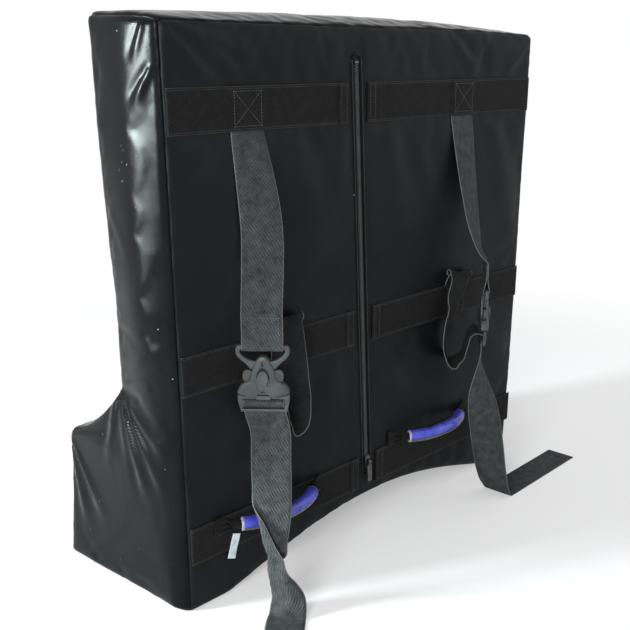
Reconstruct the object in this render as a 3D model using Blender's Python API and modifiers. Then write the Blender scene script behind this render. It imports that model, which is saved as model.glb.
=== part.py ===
"""A ruck pad: a foam slab with a foot block, in a sewn cover with a zip, bands, straps, buckles and handles.

X runs along the pad's back, Y from the wearer's side into the pad, and Z up. The origin is on the floor,
under the middle of the back.
"""

import math

import bmesh
import bpy
import numpy as np
from mathutils import Matrix, Vector

MM = 0.001

# The foam body
PAD_WIDTH = 700 * MM
PAD_HEIGHT = 720 * MM
SLAB_DEPTH = 120 * MM
FOOT_DEPTH = 250 * MM
NOTCH_HEIGHT = 280 * MM
FOOT_FRONT_HEIGHT = 187 * MM
EDGE_RADIUS = 13 * MM
ARCH_RISE = 52 * MM
ARCH_MARGIN = 60 * MM
ARCH_HALF_WIDTH = PAD_WIDTH / 2 - ARCH_MARGIN
FRONT_CROWN = 8 * MM
FOOT_CROWN = 7 * MM
SIDE_CROWN = 4 * MM
NOTCH_SWELL_DEPTH = 190 * MM
NOTCH_SWELL_HEIGHT = 120 * MM
TOP_CROWN = 5 * MM
SIDE_DRAW_IN = 1 * MM
TOP_SEAM_SAG = 2 * MM

# The cover
COVER_THICKNESS = 1.5 * MM
GAP = 0.3 * MM
SEAM_GAP = 0.6 * MM
FOAM_EASE = 0.5 * MM

# The zip
ZIP_BOTTOM_HEIGHT = 100 * MM
ZIP_TOP_DROP = 48 * MM
ZIP_LENGTH = PAD_HEIGHT - ZIP_TOP_DROP - ZIP_BOTTOM_HEIGHT
ZIP_BOTTOM_OFFSET = 19 * MM
ZIP_TOP_OFFSET = 47 * MM
ZIP_SLOT_WIDTH = 13 * MM
TAPE_WIDTH = 13 * MM
TAPE_THICKNESS = 0.8 * MM
TOOTH_PITCH = 7 * MM
TOOTH_HEIGHT = 2.9 * MM
TOOTH_START_SHARE = 0.06
TOOTH_REACH = 1.2 * MM
TOOTH_SPINE = 2.2 * MM
TOOTH_DEPTH = 2.7 * MM
SLIDER_LENGTH = 17 * MM
SLIDER_PLATE = 2 * MM
SLIDER_WALL = 1.4 * MM
PULL_LENGTH = 30 * MM
PULL_WIDTH = 9 * MM
PULL_THICKNESS = 1.6 * MM
PULL_PIN_RADIUS = 0.8 * MM

# Webbing, bands and straps
WEB_WIDTH = 50 * MM
WEB_THICKNESS = 1.5 * MM
TOP_BAND_DROP = 97 * MM
TOP_BAND_HEIGHT = PAD_HEIGHT - TOP_BAND_DROP
MIDDLE_BAND_HEIGHT = 320 * MM
BOTTOM_BAND_HEIGHT = 93 * MM
BAND_END_INSET = 5 * MM
STUB_GAP = 38 * MM
STUB_FOLD = 18 * MM
LEFT_STRAP_INSET = 117 * MM
LEFT_SLACK_INSET = 168 * MM
RIGHT_STRAP_INSET = 169 * MM
LEFT_STANDOFF = 40 * MM
RIGHT_STANDOFF = 58 * MM
LEFT_BUCKLE_SHIFT = -20 * MM
RIGHT_BUCKLE_SHIFT = 1 * MM
LEFT_BUCKLE_TURN = -48.0
RIGHT_BUCKLE_TURN = 41.0
BUCKLE_TOP_HEIGHT = 350 * MM
TURN_BACK = 38 * MM

# The buckles
BUCKLE_SIDE = 8 * MM
BUCKLE_LENGTH = 86.5 * MM
SOCKET_THICKNESS = 12 * MM
RING_THICKNESS = 5.5 * MM
RING_BAR = 5.5 * MM
CAVITY_THICKNESS = 6.6 * MM
ARM_THICKNESS = 5 * MM
FRAME_THICKNESS = 4.4 * MM
EDGE_ROUNDING = 0.8 * MM
ADJUSTER_BAR = 3.5 * MM
ADJUSTER_DROP = 13.5 * MM

# The handles
GRIP_RADIUS = 9.5 * MM
GRIP_WALL = 2.2 * MM
GRIP_LENGTH = 128 * MM
GRIP_REACH = 27 * MM
HANDLE_SPAN = 150 * MM
HANDLE_BUNDLE = 6.4 * MM
ANCHOR_LENGTH = 20 * MM
ANCHOR_HEIGHT = 28 * MM
LEFT_HANDLE_INSET = 137 * MM
RIGHT_HANDLE_INSET = 228 * MM
LEFT_HANDLE_HEIGHT = 108 * MM
RIGHT_HANDLE_HEIGHT = 128 * MM
TAG_WIDTH = 10 * MM
TAG_LENGTH = 33 * MM
TAG_THICKNESS = 0.5 * MM

OVERRUN = 5 * MM

for item in list(bpy.data.objects):
    bpy.data.objects.remove(item, do_unlink=True)

parts = bpy.data.collections.new("ruck_pad")
cutters = bpy.data.collections.new("cutters")
for collection in (parts, cutters):
    bpy.context.scene.collection.children.link(collection)


def make_material(name, colour, roughness, metallic=0.0):
    material = bpy.data.materials.new(name)
    material.use_nodes = True
    shader = material.node_tree.nodes["Principled BSDF"]
    shader.inputs["Base Color"].default_value = (*colour, 1.0)
    shader.inputs["Roughness"].default_value = roughness
    shader.inputs["Metallic"].default_value = metallic
    material.diffuse_color = (*colour, 1.0)
    return material


FOAM = make_material("foam", (0.55, 0.56, 0.58), 0.95)
BACK_VINYL = make_material("back_vinyl", (0.013, 0.014, 0.016), 0.55)
GLOSSY_VINYL = make_material("glossy_vinyl", (0.008, 0.008, 0.009), 0.28)
WEBBING = make_material("webbing", (0.012, 0.012, 0.013), 0.8)
ZIP_TAPE = make_material("zip_tape", (0.015, 0.015, 0.016), 0.85)
ZIP_METAL = make_material("zip_metal", (0.06, 0.06, 0.065), 0.35, 0.9)
BUCKLE_PLASTIC = make_material("buckle_plastic", (0.05, 0.052, 0.056), 0.4)
GRIP_PLASTIC = make_material("grip_plastic", (0.045, 0.05, 0.32), 0.3)
TAG_FABRIC = make_material("tag_fabric", (0.75, 0.78, 0.8), 0.7)


def add_object(name, mesh, material=None, parent=None, location=(0, 0, 0), cutter=False):
    """Adds a mesh as a part, or as a hidden cutter."""
    item = bpy.data.objects.new(name, mesh)
    (cutters if cutter else parts).objects.link(item)
    if material is not None:
        mesh.materials.clear()
        mesh.materials.append(material)
    if cutter:
        item.hide_render = True
        item.display_type = "WIRE"
    item.parent = parent
    item.location = location
    return item


def add_empty(name, location, turn=0.0, lean=0.0, parent=None):
    """A frame that pieces are placed in, turned about Z and leaned about Y, in degrees."""
    item = bpy.data.objects.new(name, None)
    parts.objects.link(item)
    item.parent = parent
    item.location = location
    item.rotation_euler = (0, math.radians(lean), math.radians(turn))
    return item


def lattice_mesh(name, counts, point, smooth=True):
    """The closed surface of a block of counts cells, with its corners placed by point(i, j, k)."""
    shape = bmesh.new()
    corners = {}

    def corner(index):
        if index not in corners:
            corners[index] = shape.verts.new(point(*index))
        return corners[index]

    for axis in range(3):
        first, second = [other for other in range(3) if other != axis]
        for side in (0, counts[axis]):
            for a in range(counts[first]):
                for b in range(counts[second]):
                    ring = []
                    for step_a, step_b in ((0, 0), (1, 0), (1, 1), (0, 1)):
                        index = [0, 0, 0]
                        index[axis] = side
                        index[first] = a + step_a
                        index[second] = b + step_b
                        ring.append(corner(tuple(index)))
                    shape.faces.new(ring)
    bmesh.ops.recalc_face_normals(shape, faces=shape.faces)
    mesh = bpy.data.meshes.new(name)
    shape.to_mesh(mesh)
    shape.free()
    if smooth:
        mesh.shade_smooth()
        mesh.set_sharp_from_angle(angle=math.radians(35))
    return mesh


def outline_mesh(name, outlines, thickness, rounding=0.0, upright=True):
    """A flat plate cut to the outlines, the later ones being holes. Upright, its outline is in X and Z."""
    curve = bpy.data.curves.new(name, "CURVE")
    curve.dimensions = "2D"
    curve.fill_mode = "BOTH"
    curve.extrude = thickness / 2 - rounding
    curve.bevel_depth = rounding
    curve.offset = -rounding
    curve.bevel_resolution = 1
    for outline in outlines:
        spline = curve.splines.new("POLY")
        spline.points.add(len(outline) - 1)
        for target, (x, y) in zip(spline.points, outline):
            target.co = (x, y, 0, 1)
        spline.use_cyclic_u = True
    guide = bpy.data.objects.new(name, curve)
    bpy.context.scene.collection.objects.link(guide)
    bpy.context.view_layer.update()
    evaluated = guide.evaluated_get(bpy.context.evaluated_depsgraph_get())
    mesh = bpy.data.meshes.new_from_object(evaluated)
    bpy.data.objects.remove(guide)
    shape = bmesh.new()
    shape.from_mesh(mesh)
    bmesh.ops.remove_doubles(shape, verts=shape.verts, dist=GAP / 30)
    bmesh.ops.recalc_face_normals(shape, faces=shape.faces)
    if upright:
        shape.transform(Matrix.Rotation(math.radians(90), 4, "X"))
    shape.to_mesh(mesh)
    shape.free()
    return mesh


def box_mesh(name, low, high):
    shape = bmesh.new()
    bmesh.ops.create_cube(shape, size=1)
    size = [high[axis] - low[axis] for axis in range(3)]
    middle = [(high[axis] + low[axis]) / 2 for axis in range(3)]
    shape.transform(Matrix.Translation(middle) @ Matrix.Diagonal((*size, 1)))
    mesh = bpy.data.meshes.new(name)
    shape.to_mesh(mesh)
    shape.free()
    return mesh


def boolean(item, tool, operation="DIFFERENCE"):
    modifier = item.modifiers.new(tool.name, "BOOLEAN")
    modifier.operation = operation
    modifier.object = tool
    modifier.solver = "EXACT"


def mirrored(half):
    """A whole outline from the half at +X, given from its top middle to its bottom middle."""
    left = [(-x, y) for x, y in reversed(half) if x > GAP]
    return half + left


# The sewn body: its side profile, rounded edges and soft swell

ARC_SHARE = 1 - math.tan(math.radians(22.5))
RAMP_CONTROL_SHARES = (0.20, 0.30)
RAMP_STEP_SHARES = (0.25, 0.45, 0.65, 0.85)
X_STEPS = 8
FOOT_STEPS = 3
SLAB_STEPS = 5
COLUMN_STEPS = 4


def run(start, end, steps, round_start=True, round_end=True):
    """Places along an edge, with an extra one inside each rounded end."""
    places = []
    first = start
    last = end
    if round_start:
        places += [start, start + ARC_SHARE * EDGE_RADIUS]
        first = start + EDGE_RADIUS
    if round_end:
        last = end - EDGE_RADIUS
    places += [first + (last - first) * step / steps for step in range(steps + 1)]
    if round_end:
        places += [end - ARC_SHARE * EDGE_RADIUS, end]
    return places


def across_lines():
    """Places across the pad: its rounded edges, and even steps between the two ends of the arch."""
    rounded = np.array((0, ARC_SHARE, 1)) * EDGE_RADIUS - PAD_WIDTH / 2
    inner = np.linspace(-ARCH_HALF_WIDTH, ARCH_HALF_WIDTH, X_STEPS + 1)
    return np.concatenate((rounded, inner, -rounded[::-1]))


def front_chain():
    """The side profile's front, from the floor up over the foot and its hollow ramp to the slab's top."""
    foot_top = np.array((FOOT_DEPTH, FOOT_FRONT_HEIGHT))
    notch = np.array((SLAB_DEPTH, NOTCH_HEIGHT))
    control = np.array(
        (
            SLAB_DEPTH + RAMP_CONTROL_SHARES[0] * (FOOT_DEPTH - SLAB_DEPTH),
            FOOT_FRONT_HEIGHT + RAMP_CONTROL_SHARES[1] * (NOTCH_HEIGHT - FOOT_FRONT_HEIGHT),
        )
    )
    speed = 2 * np.linalg.norm(control - foot_top)
    shares = [ARC_SHARE * EDGE_RADIUS / speed, EDGE_RADIUS / speed, *RAMP_STEP_SHARES]
    points = [(FOOT_DEPTH, z) for z in run(0, FOOT_FRONT_HEIGHT, FOOT_STEPS)]
    foot_row = len(points) - 1
    for share in shares:
        here = (1 - share) ** 2 * foot_top + 2 * share * (1 - share) * control + share**2 * notch
        points.append(tuple(here))
    notch_row = len(points)
    points += [(SLAB_DEPTH, z) for z in run(NOTCH_HEIGHT, PAD_HEIGHT, SLAB_STEPS, round_start=False)]
    return points, foot_row, notch_row


CHAIN, FOOT_ROW, NOTCH_ROW = front_chain()
LOOP = np.array([*CHAIN, (0, PAD_HEIGHT), (0, 0)])
X_LINES = across_lines()


def offset_loop(inset):
    """The side profile drawn in by inset all round, with mitred corners."""
    before = LOOP - np.roll(LOOP, 1, axis=0)
    after = np.roll(LOOP, -1, axis=0) - LOOP
    before = before / np.linalg.norm(before, axis=1)[:, None]
    after = after / np.linalg.norm(after, axis=1)[:, None]
    normal_before = np.stack((-before[:, 1], before[:, 0]), axis=1)
    normal_after = np.stack((-after[:, 1], after[:, 0]), axis=1)
    reach = 1 + (normal_before * normal_after).sum(axis=1)
    return LOOP + inset * (normal_before + normal_after) / reach[:, None]


def nearest_on(loop, here):
    """The point of a closed line nearest to a place."""
    along = np.roll(loop, -1, axis=0) - loop
    share = ((here - loop) * along).sum(axis=1) / (along**2).sum(axis=1)
    near = loop + np.clip(share, 0, 1)[:, None] * along
    return near[np.argmin(np.linalg.norm(near - here, axis=1))]


def core_loop():
    """The profile drawn in by the edge radius, without the rows that only round its corners."""
    kept = []
    for point in offset_loop(EDGE_RADIUS):
        depth = np.linalg.norm(nearest_on(LOOP, point) - point)
        if depth > EDGE_RADIUS - GAP and all(np.linalg.norm(point - other) > GAP for other in kept):
            kept.append(point)
    return np.array(kept)


CORE = core_loop()


def nearest_in_core(y, z):
    """The nearest point of the drawn-in profile, which is the place itself inside it."""
    here = np.array((y, z))
    inside = False
    for (y0, z0), (y1, z1) in zip(CORE, np.roll(CORE, -1, axis=0)):
        if (z0 > z) != (z1 > z) and y < (y1 - y0) * (z - z0) / (z1 - z0) + y0:
            inside = not inside
    return here if inside else nearest_on(CORE, here)


def profile_depth(z):
    heights = [row[1] for row in CHAIN]
    depths = [row[0] for row in CHAIN]
    return np.interp(z, heights, depths)


def side_columns(depth):
    """Places through the pad for a row of corners: nine that the slab shares, and four more for the foot."""
    rounded = np.array((0, ARC_SHARE * EDGE_RADIUS, EDGE_RADIUS))
    inner = np.linspace(EDGE_RADIUS, SLAB_DEPTH - EDGE_RADIUS, COLUMN_STEPS + 1)[1:-1]
    slab = (*rounded, *inner, SLAB_DEPTH - EDGE_RADIUS, SLAB_DEPTH - rounded[1])
    if depth < SLAB_DEPTH + GAP:
        front = np.linspace(slab[-1], SLAB_DEPTH, 6)[1:]
    elif depth < SLAB_DEPTH + 2 * EDGE_RADIUS:
        front = np.linspace(SLAB_DEPTH, depth, 5)
    else:
        middle = (SLAB_DEPTH + depth - EDGE_RADIUS) / 2
        front = (SLAB_DEPTH, middle, *(depth - rounded[::-1]))
    return np.array((*slab, *front))


def soft(point):
    """Swells the faces, draws in the seams and lifts the arch under the pad."""
    x, y, z = point
    across = math.cos(math.pi * min(abs(x) / PAD_WIDTH, 0.5))
    side = 2 * x / PAD_WIDTH
    rise = min(max(z / PAD_HEIGHT, 0), 1)
    depth = profile_depth(z)
    through = min(max(y / depth, 0), 1)
    if z > NOTCH_HEIGHT:
        belly = FRONT_CROWN * math.sin(math.pi * (z - NOTCH_HEIGHT) / (PAD_HEIGHT - NOTCH_HEIGHT))
    else:
        belly = FOOT_CROWN * math.sin(math.pi * min(z / NOTCH_HEIGHT, 1))
    knots = side_columns(depth)
    heights = (FOOT_FRONT_HEIGHT, NOTCH_HEIGHT, NOTCH_HEIGHT + NOTCH_SWELL_HEIGHT)
    wave = np.interp(z, heights, (FOOT_DEPTH, NOTCH_SWELL_DEPTH, SLAB_DEPTH))
    swell = np.interp(y, knots, np.sin(math.pi * np.minimum(knots / wave, 1)))
    y += max(belly, 0) * across * through
    x += side * math.sin(math.pi * rise) * (SIDE_CROWN * swell - SIDE_DRAW_IN * (1 - swell))
    z += across * (TOP_CROWN * swell - TOP_SEAM_SAG * (1 - swell)) * rise**8
    reach = abs(x) / ARCH_HALF_WIDTH
    if reach < 1:
        fade = max(1 - point[2] / (PAD_HEIGHT / 3), 0) ** 2
        z += ARCH_RISE * (1 - reach**2) ** 1.25 * fade
    return (x, y, z)


def on_body(sharp, inset):
    """Turns a point of the sharp-edged body, drawn in by inset, into one of the rounded soft body."""
    half = PAD_WIDTH / 2 - EDGE_RADIUS
    near_y, near_z = nearest_in_core(sharp[1], sharp[2])
    near = np.array((min(max(sharp[0], -half), half), near_y, near_z))
    away = np.array(sharp) - near
    distance = np.linalg.norm(away)
    radius = EDGE_RADIUS - inset
    if distance > radius:
        sharp = near + away * radius / distance
    return soft(sharp)


def columns(outer_depth, depth, inset):
    places = side_columns(outer_depth)
    places[0] = inset
    places[-1] = depth
    return places


def patch(kind, inset, rows=None, side=0):
    """A panel's grid of points on the sharp-edged body drawn in by inset."""
    loop = offset_loop(inset)[: len(CHAIN)]
    half = PAD_WIDTH / 2 - inset
    x_lines = np.clip(X_LINES, -half, half)
    if kind == "back":
        return np.array([[(x, inset, z) for _, z in loop] for x in x_lines])
    if kind == "front":
        return np.array([[(x, y, z) for y, z in loop[rows[0] : rows[1] + 1]] for x in x_lines])
    if kind in ("top", "bottom"):
        row = -1 if kind == "top" else 0
        places = columns(CHAIN[row][0], loop[row][0], inset)
        return np.array([[(x, y, loop[row][1]) for y in places] for x in x_lines])
    grid = []
    for (outer_depth, _), (depth, z) in zip(CHAIN, loop):
        grid.append([(side * half, y, z) for y in columns(outer_depth, depth, inset)])
    return np.array(grid)


def drawn_apart(grid):
    """Moves the grid's borders inwards, so that panels meet at a seam with a gap."""
    for axis in (0, 1):
        grid = np.swapaxes(grid, 0, axis)
        for edge, inner in ((0, 1), (-1, -2)):
            step = grid[inner] - grid[edge]
            grid[edge] += step * (SEAM_GAP / 2) / np.linalg.norm(step, axis=-1, keepdims=True)
        grid = np.swapaxes(grid, 0, axis)
    return grid


def add_panel(name, material, kind, rows=None, side=0):
    """One sewn sheet of the cover, between the outer surface and the foam's."""
    layers = []
    for inset in (0, COVER_THICKNESS):
        grid = drawn_apart(patch(kind, inset, rows, side))
        layers.append(np.array([[on_body(point, inset) for point in line] for line in grid]))
    counts = (layers[0].shape[0] - 1, layers[0].shape[1] - 1, 1)
    mesh = lattice_mesh(name, counts, lambda i, j, k: layers[k][i, j])
    return add_object(name, mesh, material)


FOAM_INSET = COVER_THICKNESS + FOAM_EASE


def add_foam():
    """The upright slab and the foot block glued to its front."""
    loop = offset_loop(FOAM_INSET)[: len(CHAIN)]
    half = PAD_WIDTH / 2 - FOAM_INSET
    x_lines = np.clip(X_LINES, -half, half)
    face = SLAB_DEPTH - FOAM_INSET
    slab_columns = np.array((*columns(SLAB_DEPTH, face, FOAM_INSET)[:8], face))

    def slab_point(i, j, k):
        return on_body((x_lines[i], slab_columns[k], loop[j][1]), FOAM_INSET)

    counts = (len(x_lines) - 1, len(loop) - 1, len(slab_columns) - 1)
    slab = add_object("foam_slab", lattice_mesh("foam_slab", counts, slab_point), FOAM)

    foot_rows = []
    for (outer_depth, _), (depth, z) in zip(CHAIN[:NOTCH_ROW], loop):
        places = columns(outer_depth, depth, FOAM_INSET)[-4:]
        foot_rows.append([(y, z) for y in (face + GAP, *places)])

    def foot_point(i, j, k):
        y, z = foot_rows[j][k]
        return on_body((x_lines[i], y, z), FOAM_INSET)

    counts = (len(x_lines) - 1, len(foot_rows) - 1, len(foot_rows[0]) - 1)
    add_object("foam_foot", lattice_mesh("foam_foot", counts, foot_point), FOAM)
    return slab


foam_slab = add_foam()
back_panel = add_panel("back_panel", BACK_VINYL, "back")
add_panel("left_side_panel", GLOSSY_VINYL, "side", side=-1)
add_panel("right_side_panel", GLOSSY_VINYL, "side", side=1)
add_panel("top_panel", GLOSSY_VINYL, "top")
add_panel("front_panel", GLOSSY_VINYL, "front", rows=(NOTCH_ROW, len(CHAIN) - 1))
add_panel("foot_top_panel", GLOSSY_VINYL, "front", rows=(FOOT_ROW, NOTCH_ROW))
add_panel("foot_front_panel", GLOSSY_VINYL, "front", rows=(0, FOOT_ROW))
add_panel("bottom_panel", GLOSSY_VINYL, "bottom")

# The zip, in a frame that stands at its lower end and leans with it

ZIP_LEAN = math.degrees(math.atan2(ZIP_BOTTOM_OFFSET - ZIP_TOP_OFFSET, ZIP_LENGTH))
TAPE_BACK = COVER_THICKNESS + GAP
TEETH_BACK = TAPE_BACK - GAP
TEETH_FRONT = TEETH_BACK - TOOTH_DEPTH
SLIDER_HALF = TOOTH_REACH + TOOTH_SPINE + GAP + SLIDER_WALL


def zip_x(height):
    """The zip line's place along the back at a height."""
    share = (height - ZIP_BOTTOM_HEIGHT) / ZIP_LENGTH
    return -(ZIP_BOTTOM_OFFSET + (ZIP_TOP_OFFSET - ZIP_BOTTOM_OFFSET) * share)


zip_frame = add_empty("zip_frame", (-ZIP_BOTTOM_OFFSET, 0, ZIP_BOTTOM_HEIGHT), lean=ZIP_LEAN)


def stadium(half_width, low, high, steps=6):
    """An upright slot outline with round ends."""
    points = []
    for centre, start in ((high, 0), (low, math.pi)):
        for step in range(steps + 1):
            angle = start + math.pi * step / steps
            points.append((half_width * math.cos(angle), centre + half_width * math.sin(angle)))
    return points


def add_zip():
    slot_half = ZIP_SLOT_WIDTH / 2
    slot = outline_mesh("zip_slot", [stadium(slot_half, 0, ZIP_LENGTH)], 2 * OVERRUN)
    boolean(back_panel, add_object("zip_slot", slot, parent=zip_frame, cutter=True))
    groove_half = TAPE_WIDTH + TOOTH_REACH + 2 * GAP
    groove_back = TAPE_BACK + TAPE_THICKNESS + GAP
    groove_ends = slot_half + 2 * GAP
    groove = box_mesh(
        "tape_groove",
        (-groove_half, -OVERRUN, -groove_ends - GAP),
        (groove_half, groove_back, ZIP_LENGTH + groove_ends + GAP),
    )
    boolean(foam_slab, add_object("tape_groove", groove, parent=zip_frame, cutter=True))
    teeth = int(ZIP_LENGTH / TOOTH_PITCH)
    for side, word in ((-1, "left"), (1, "right")):
        edges = sorted((side * GAP / 2, side * TAPE_WIDTH))
        tape = box_mesh(
            "zip_tape_" + word,
            (edges[0], TAPE_BACK, -groove_ends),
            (edges[1], TAPE_BACK + TAPE_THICKNESS, ZIP_LENGTH + groove_ends),
        )
        add_object("zip_tape_" + word, tape, ZIP_TAPE, parent=zip_frame)
        comb = [(TOOTH_REACH + TOOTH_SPINE, 0), (TOOTH_REACH, 0)]
        for tooth in range(teeth):
            base = TOOTH_PITCH * (tooth + (TOOTH_START_SHARE if side < 0 else 0.5 + TOOTH_START_SHARE))
            for x, height in ((TOOTH_REACH, 0), (-TOOTH_REACH, 0), (-TOOTH_REACH, 1), (TOOTH_REACH, 1)):
                comb.append((x, base + height * TOOTH_HEIGHT))
        comb += [(TOOTH_REACH, ZIP_LENGTH), (TOOTH_REACH + TOOTH_SPINE, ZIP_LENGTH)]
        row = outline_mesh("zip_teeth_" + word, [comb], TOOTH_DEPTH)
        row.transform(Matrix.Translation((0, TEETH_BACK - TOOTH_DEPTH / 2, 0)))
        if side < 0:
            row.transform(Matrix.Rotation(math.radians(180), 4, "Z"))
            row.transform(Matrix.Translation((0, 2 * TEETH_BACK - TOOTH_DEPTH, 0)))
        add_object("zip_teeth_" + word, row, ZIP_TAPE, parent=zip_frame)
    stop_half = TOOTH_REACH + TOOTH_SPINE
    for word, low in (("bottom", -GAP - TOOTH_HEIGHT), ("top", ZIP_LENGTH + GAP)):
        stop = box_mesh(
            "zip_stop",
            (-stop_half, TEETH_FRONT, low),
            (stop_half, TEETH_BACK, low + TOOTH_HEIGHT),
        )
        add_object("zip_" + word + "_stop", stop, ZIP_METAL, parent=zip_frame)


PULL_EYE = PULL_PIN_RADIUS + GAP + PULL_THICKNESS / 2
PULL_PIN_OUT = PULL_EYE + PULL_THICKNESS / 2 + GAP
SLIDER_HEAD_SHARES = ((0.62, 1.0), (1.0, 0.80), (1.0, 0.35), (0.72, 0.0))
PULL_SHARES = ((0.45, 0.0), (0.5, -0.12), (0.5, -0.90), (0.38, -1.0))
BAIL_SHARE = 0.42


def add_slider():
    """The slider, a capped channel over the teeth with two ears and a pin, and the pull on the pin."""
    slider_frame = add_empty("slider_frame", (0, 0, GAP), parent=zip_frame)
    plate_back = TEETH_FRONT - GAP
    outline = mirrored([(SLIDER_HALF * x, SLIDER_LENGTH * z) for x, z in SLIDER_HEAD_SHARES])
    plate = outline_mesh("zip_slider", [outline], SLIDER_PLATE, EDGE_ROUNDING / 2)
    plate.transform(Matrix.Translation((0, plate_back - SLIDER_PLATE / 2, 0)))
    slider = add_object("zip_slider", plate, ZIP_METAL, parent=slider_frame)
    wall_low = SLIDER_LENGTH * SLIDER_HEAD_SHARES[2][1]
    wall_high = SLIDER_LENGTH * SLIDER_HEAD_SHARES[1][1]
    for side in (-1, 1):
        edges = sorted((side * (SLIDER_HALF - SLIDER_WALL), side * (SLIDER_HALF - GAP / 3)))
        wall = box_mesh(
            "slider_wall",
            (edges[0], plate_back - SLIDER_PLATE / 2, wall_low),
            (edges[1], TEETH_BACK - GAP, wall_high),
        )
        boolean(slider, add_object("slider_wall", wall, parent=slider_frame, cutter=True), "UNION")
    pin_y = plate_back - SLIDER_PLATE - PULL_PIN_OUT
    pin_z = SLIDER_LENGTH * BAIL_SHARE
    ear_in = PULL_WIDTH / 4 + GAP
    ear_out = ear_in + SLIDER_WALL
    for side in (-1, 1):
        edges = sorted((side * ear_in, side * ear_out))
        ear = box_mesh(
            "slider_ear",
            (edges[0], pin_y - 1.5 * PULL_PIN_RADIUS, pin_z - 2 * PULL_PIN_RADIUS),
            (edges[1], plate_back - SLIDER_PLATE / 2, pin_z + 2 * PULL_PIN_RADIUS),
        )
        boolean(slider, add_object("slider_ear", ear, parent=slider_frame, cutter=True), "UNION")
    pin = bmesh.new()
    bmesh.ops.create_cone(
        pin,
        cap_ends=True,
        segments=12,
        radius1=PULL_PIN_RADIUS,
        radius2=PULL_PIN_RADIUS,
        depth=2 * ear_out - GAP,
        matrix=Matrix.Translation((0, pin_y, pin_z)) @ Matrix.Rotation(math.radians(90), 4, "Y"),
    )
    pin_mesh = bpy.data.meshes.new("slider_pin")
    pin.to_mesh(pin_mesh)
    pin.free()
    boolean(slider, add_object("slider_pin", pin_mesh, parent=slider_frame, cutter=True), "UNION")

    pull_frame = add_empty("pull_frame", (0, pin_y, pin_z), parent=slider_frame)
    half = PULL_WIDTH / 4
    steps = 12
    ring = []
    for radius in (PULL_EYE + PULL_THICKNESS / 2, PULL_PIN_RADIUS + GAP):
        circle = [math.tau * step / steps for step in range(steps)]
        ring.append([(radius * math.cos(angle), radius * math.sin(angle)) for angle in circle])
    eye = outline_mesh("zip_pull", ring, 2 * half, upright=False)
    eye.transform(Matrix.Rotation(math.radians(90), 4, "Y"))
    pull = add_object("zip_pull", eye, ZIP_METAL, parent=pull_frame)
    start = -PULL_PIN_RADIUS - GAP - PULL_THICKNESS / 3
    leaf_half = [(PULL_WIDTH * x, start + PULL_LENGTH * z) for x, z in PULL_SHARES]
    neck = [(half - GAP / 2, start), (half - GAP / 2, start + PULL_LENGTH * PULL_SHARES[1][1] / 2)]
    leaf = outline_mesh("pull_leaf", [mirrored(neck + leaf_half[1:])], PULL_THICKNESS, EDGE_ROUNDING / 3)
    boolean(pull, add_object("pull_leaf", leaf, parent=pull_frame, cutter=True), "UNION")


add_zip()
add_slider()

# Webbing bands

LEFT_STRAP_X = LEFT_STRAP_INSET - PAD_WIDTH / 2
LEFT_SLACK_X = LEFT_SLACK_INSET - PAD_WIDTH / 2
RIGHT_STRAP_X = PAD_WIDTH / 2 - RIGHT_STRAP_INSET
LAYER = WEB_THICKNESS + GAP
BAND_STEP = 3 * WEB_THICKNESS


def add_band(name, side, height, strap_x, covers):
    """One half of a band, folded at the zip and stepped over the strap end sewn beneath it."""
    outer = side * (PAD_WIDTH / 2 - BAND_END_INSET)
    inner = zip_x(height) + side * STUB_GAP / 2
    lift = LAYER if covers else 0
    steps = [
        (outer, 0),
        (strap_x + side * (WEB_WIDTH / 2 + BAND_STEP), 0),
        (strap_x + side * (WEB_WIDTH / 2 + GAP), lift),
        (strap_x - side * (WEB_WIDTH / 2 + GAP), lift),
        (strap_x - side * (WEB_WIDTH / 2 + BAND_STEP), 0),
        (inner, 0),
    ]
    back = [(x, -GAP - out) for x, out in steps]
    front = [(x, -GAP - WEB_THICKNESS - out) for x, out in reversed(steps[:-1])]
    fold = inner + side * STUB_FOLD
    stub = [
        (inner, -GAP - 2 * WEB_THICKNESS),
        (fold, -GAP - 2 * WEB_THICKNESS),
        (fold, -GAP - WEB_THICKNESS),
    ]
    mesh = outline_mesh(name, [back + stub + front], WEB_WIDTH, upright=False)
    add_object(name, mesh, WEBBING, location=(0, 0, height))


for band, height, covers in (
    ("top", TOP_BAND_HEIGHT, True),
    ("middle", MIDDLE_BAND_HEIGHT, True),
    ("bottom", BOTTOM_BAND_HEIGHT, False),
):
    left_x = LEFT_SLACK_X if band == "middle" else LEFT_STRAP_X
    add_band(band + "_band_left", -1, height, left_x, covers)
    add_band(band + "_band_right", 1, height, RIGHT_STRAP_X, covers)

# Straps: ribbons along a smooth route, with their width turned about Z


def smooth_line(stations, steps):
    """Points on a smooth curve through the stations, of any number of values each."""
    values = np.array(stations, float)
    spans = np.linalg.norm(np.diff(values[:, :3], axis=0), axis=1)
    rates = np.diff(values, axis=0) / spans[:, None]
    slopes = np.vstack((rates[:1], rates[:-1], rates[-1:]))
    for here in range(1, len(values) - 1):
        weight = spans[here] / (spans[here - 1] + spans[here])
        slopes[here] = rates[here - 1] * weight + rates[here] * (1 - weight)
    line = []
    for here, span in enumerate(spans):
        for step in range(steps):
            t = step / steps
            line.append(
                (1 + 2 * t) * (1 - t) ** 2 * values[here]
                + t * (1 - t) ** 2 * span * slopes[here]
                + t**2 * (3 - 2 * t) * values[here + 1]
                + t**2 * (t - 1) * span * slopes[here + 1]
            )
    line.append(values[-1])
    return np.array(line)


FLOOR_CLEAR = GAP + WEB_THICKNESS / 2


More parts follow.
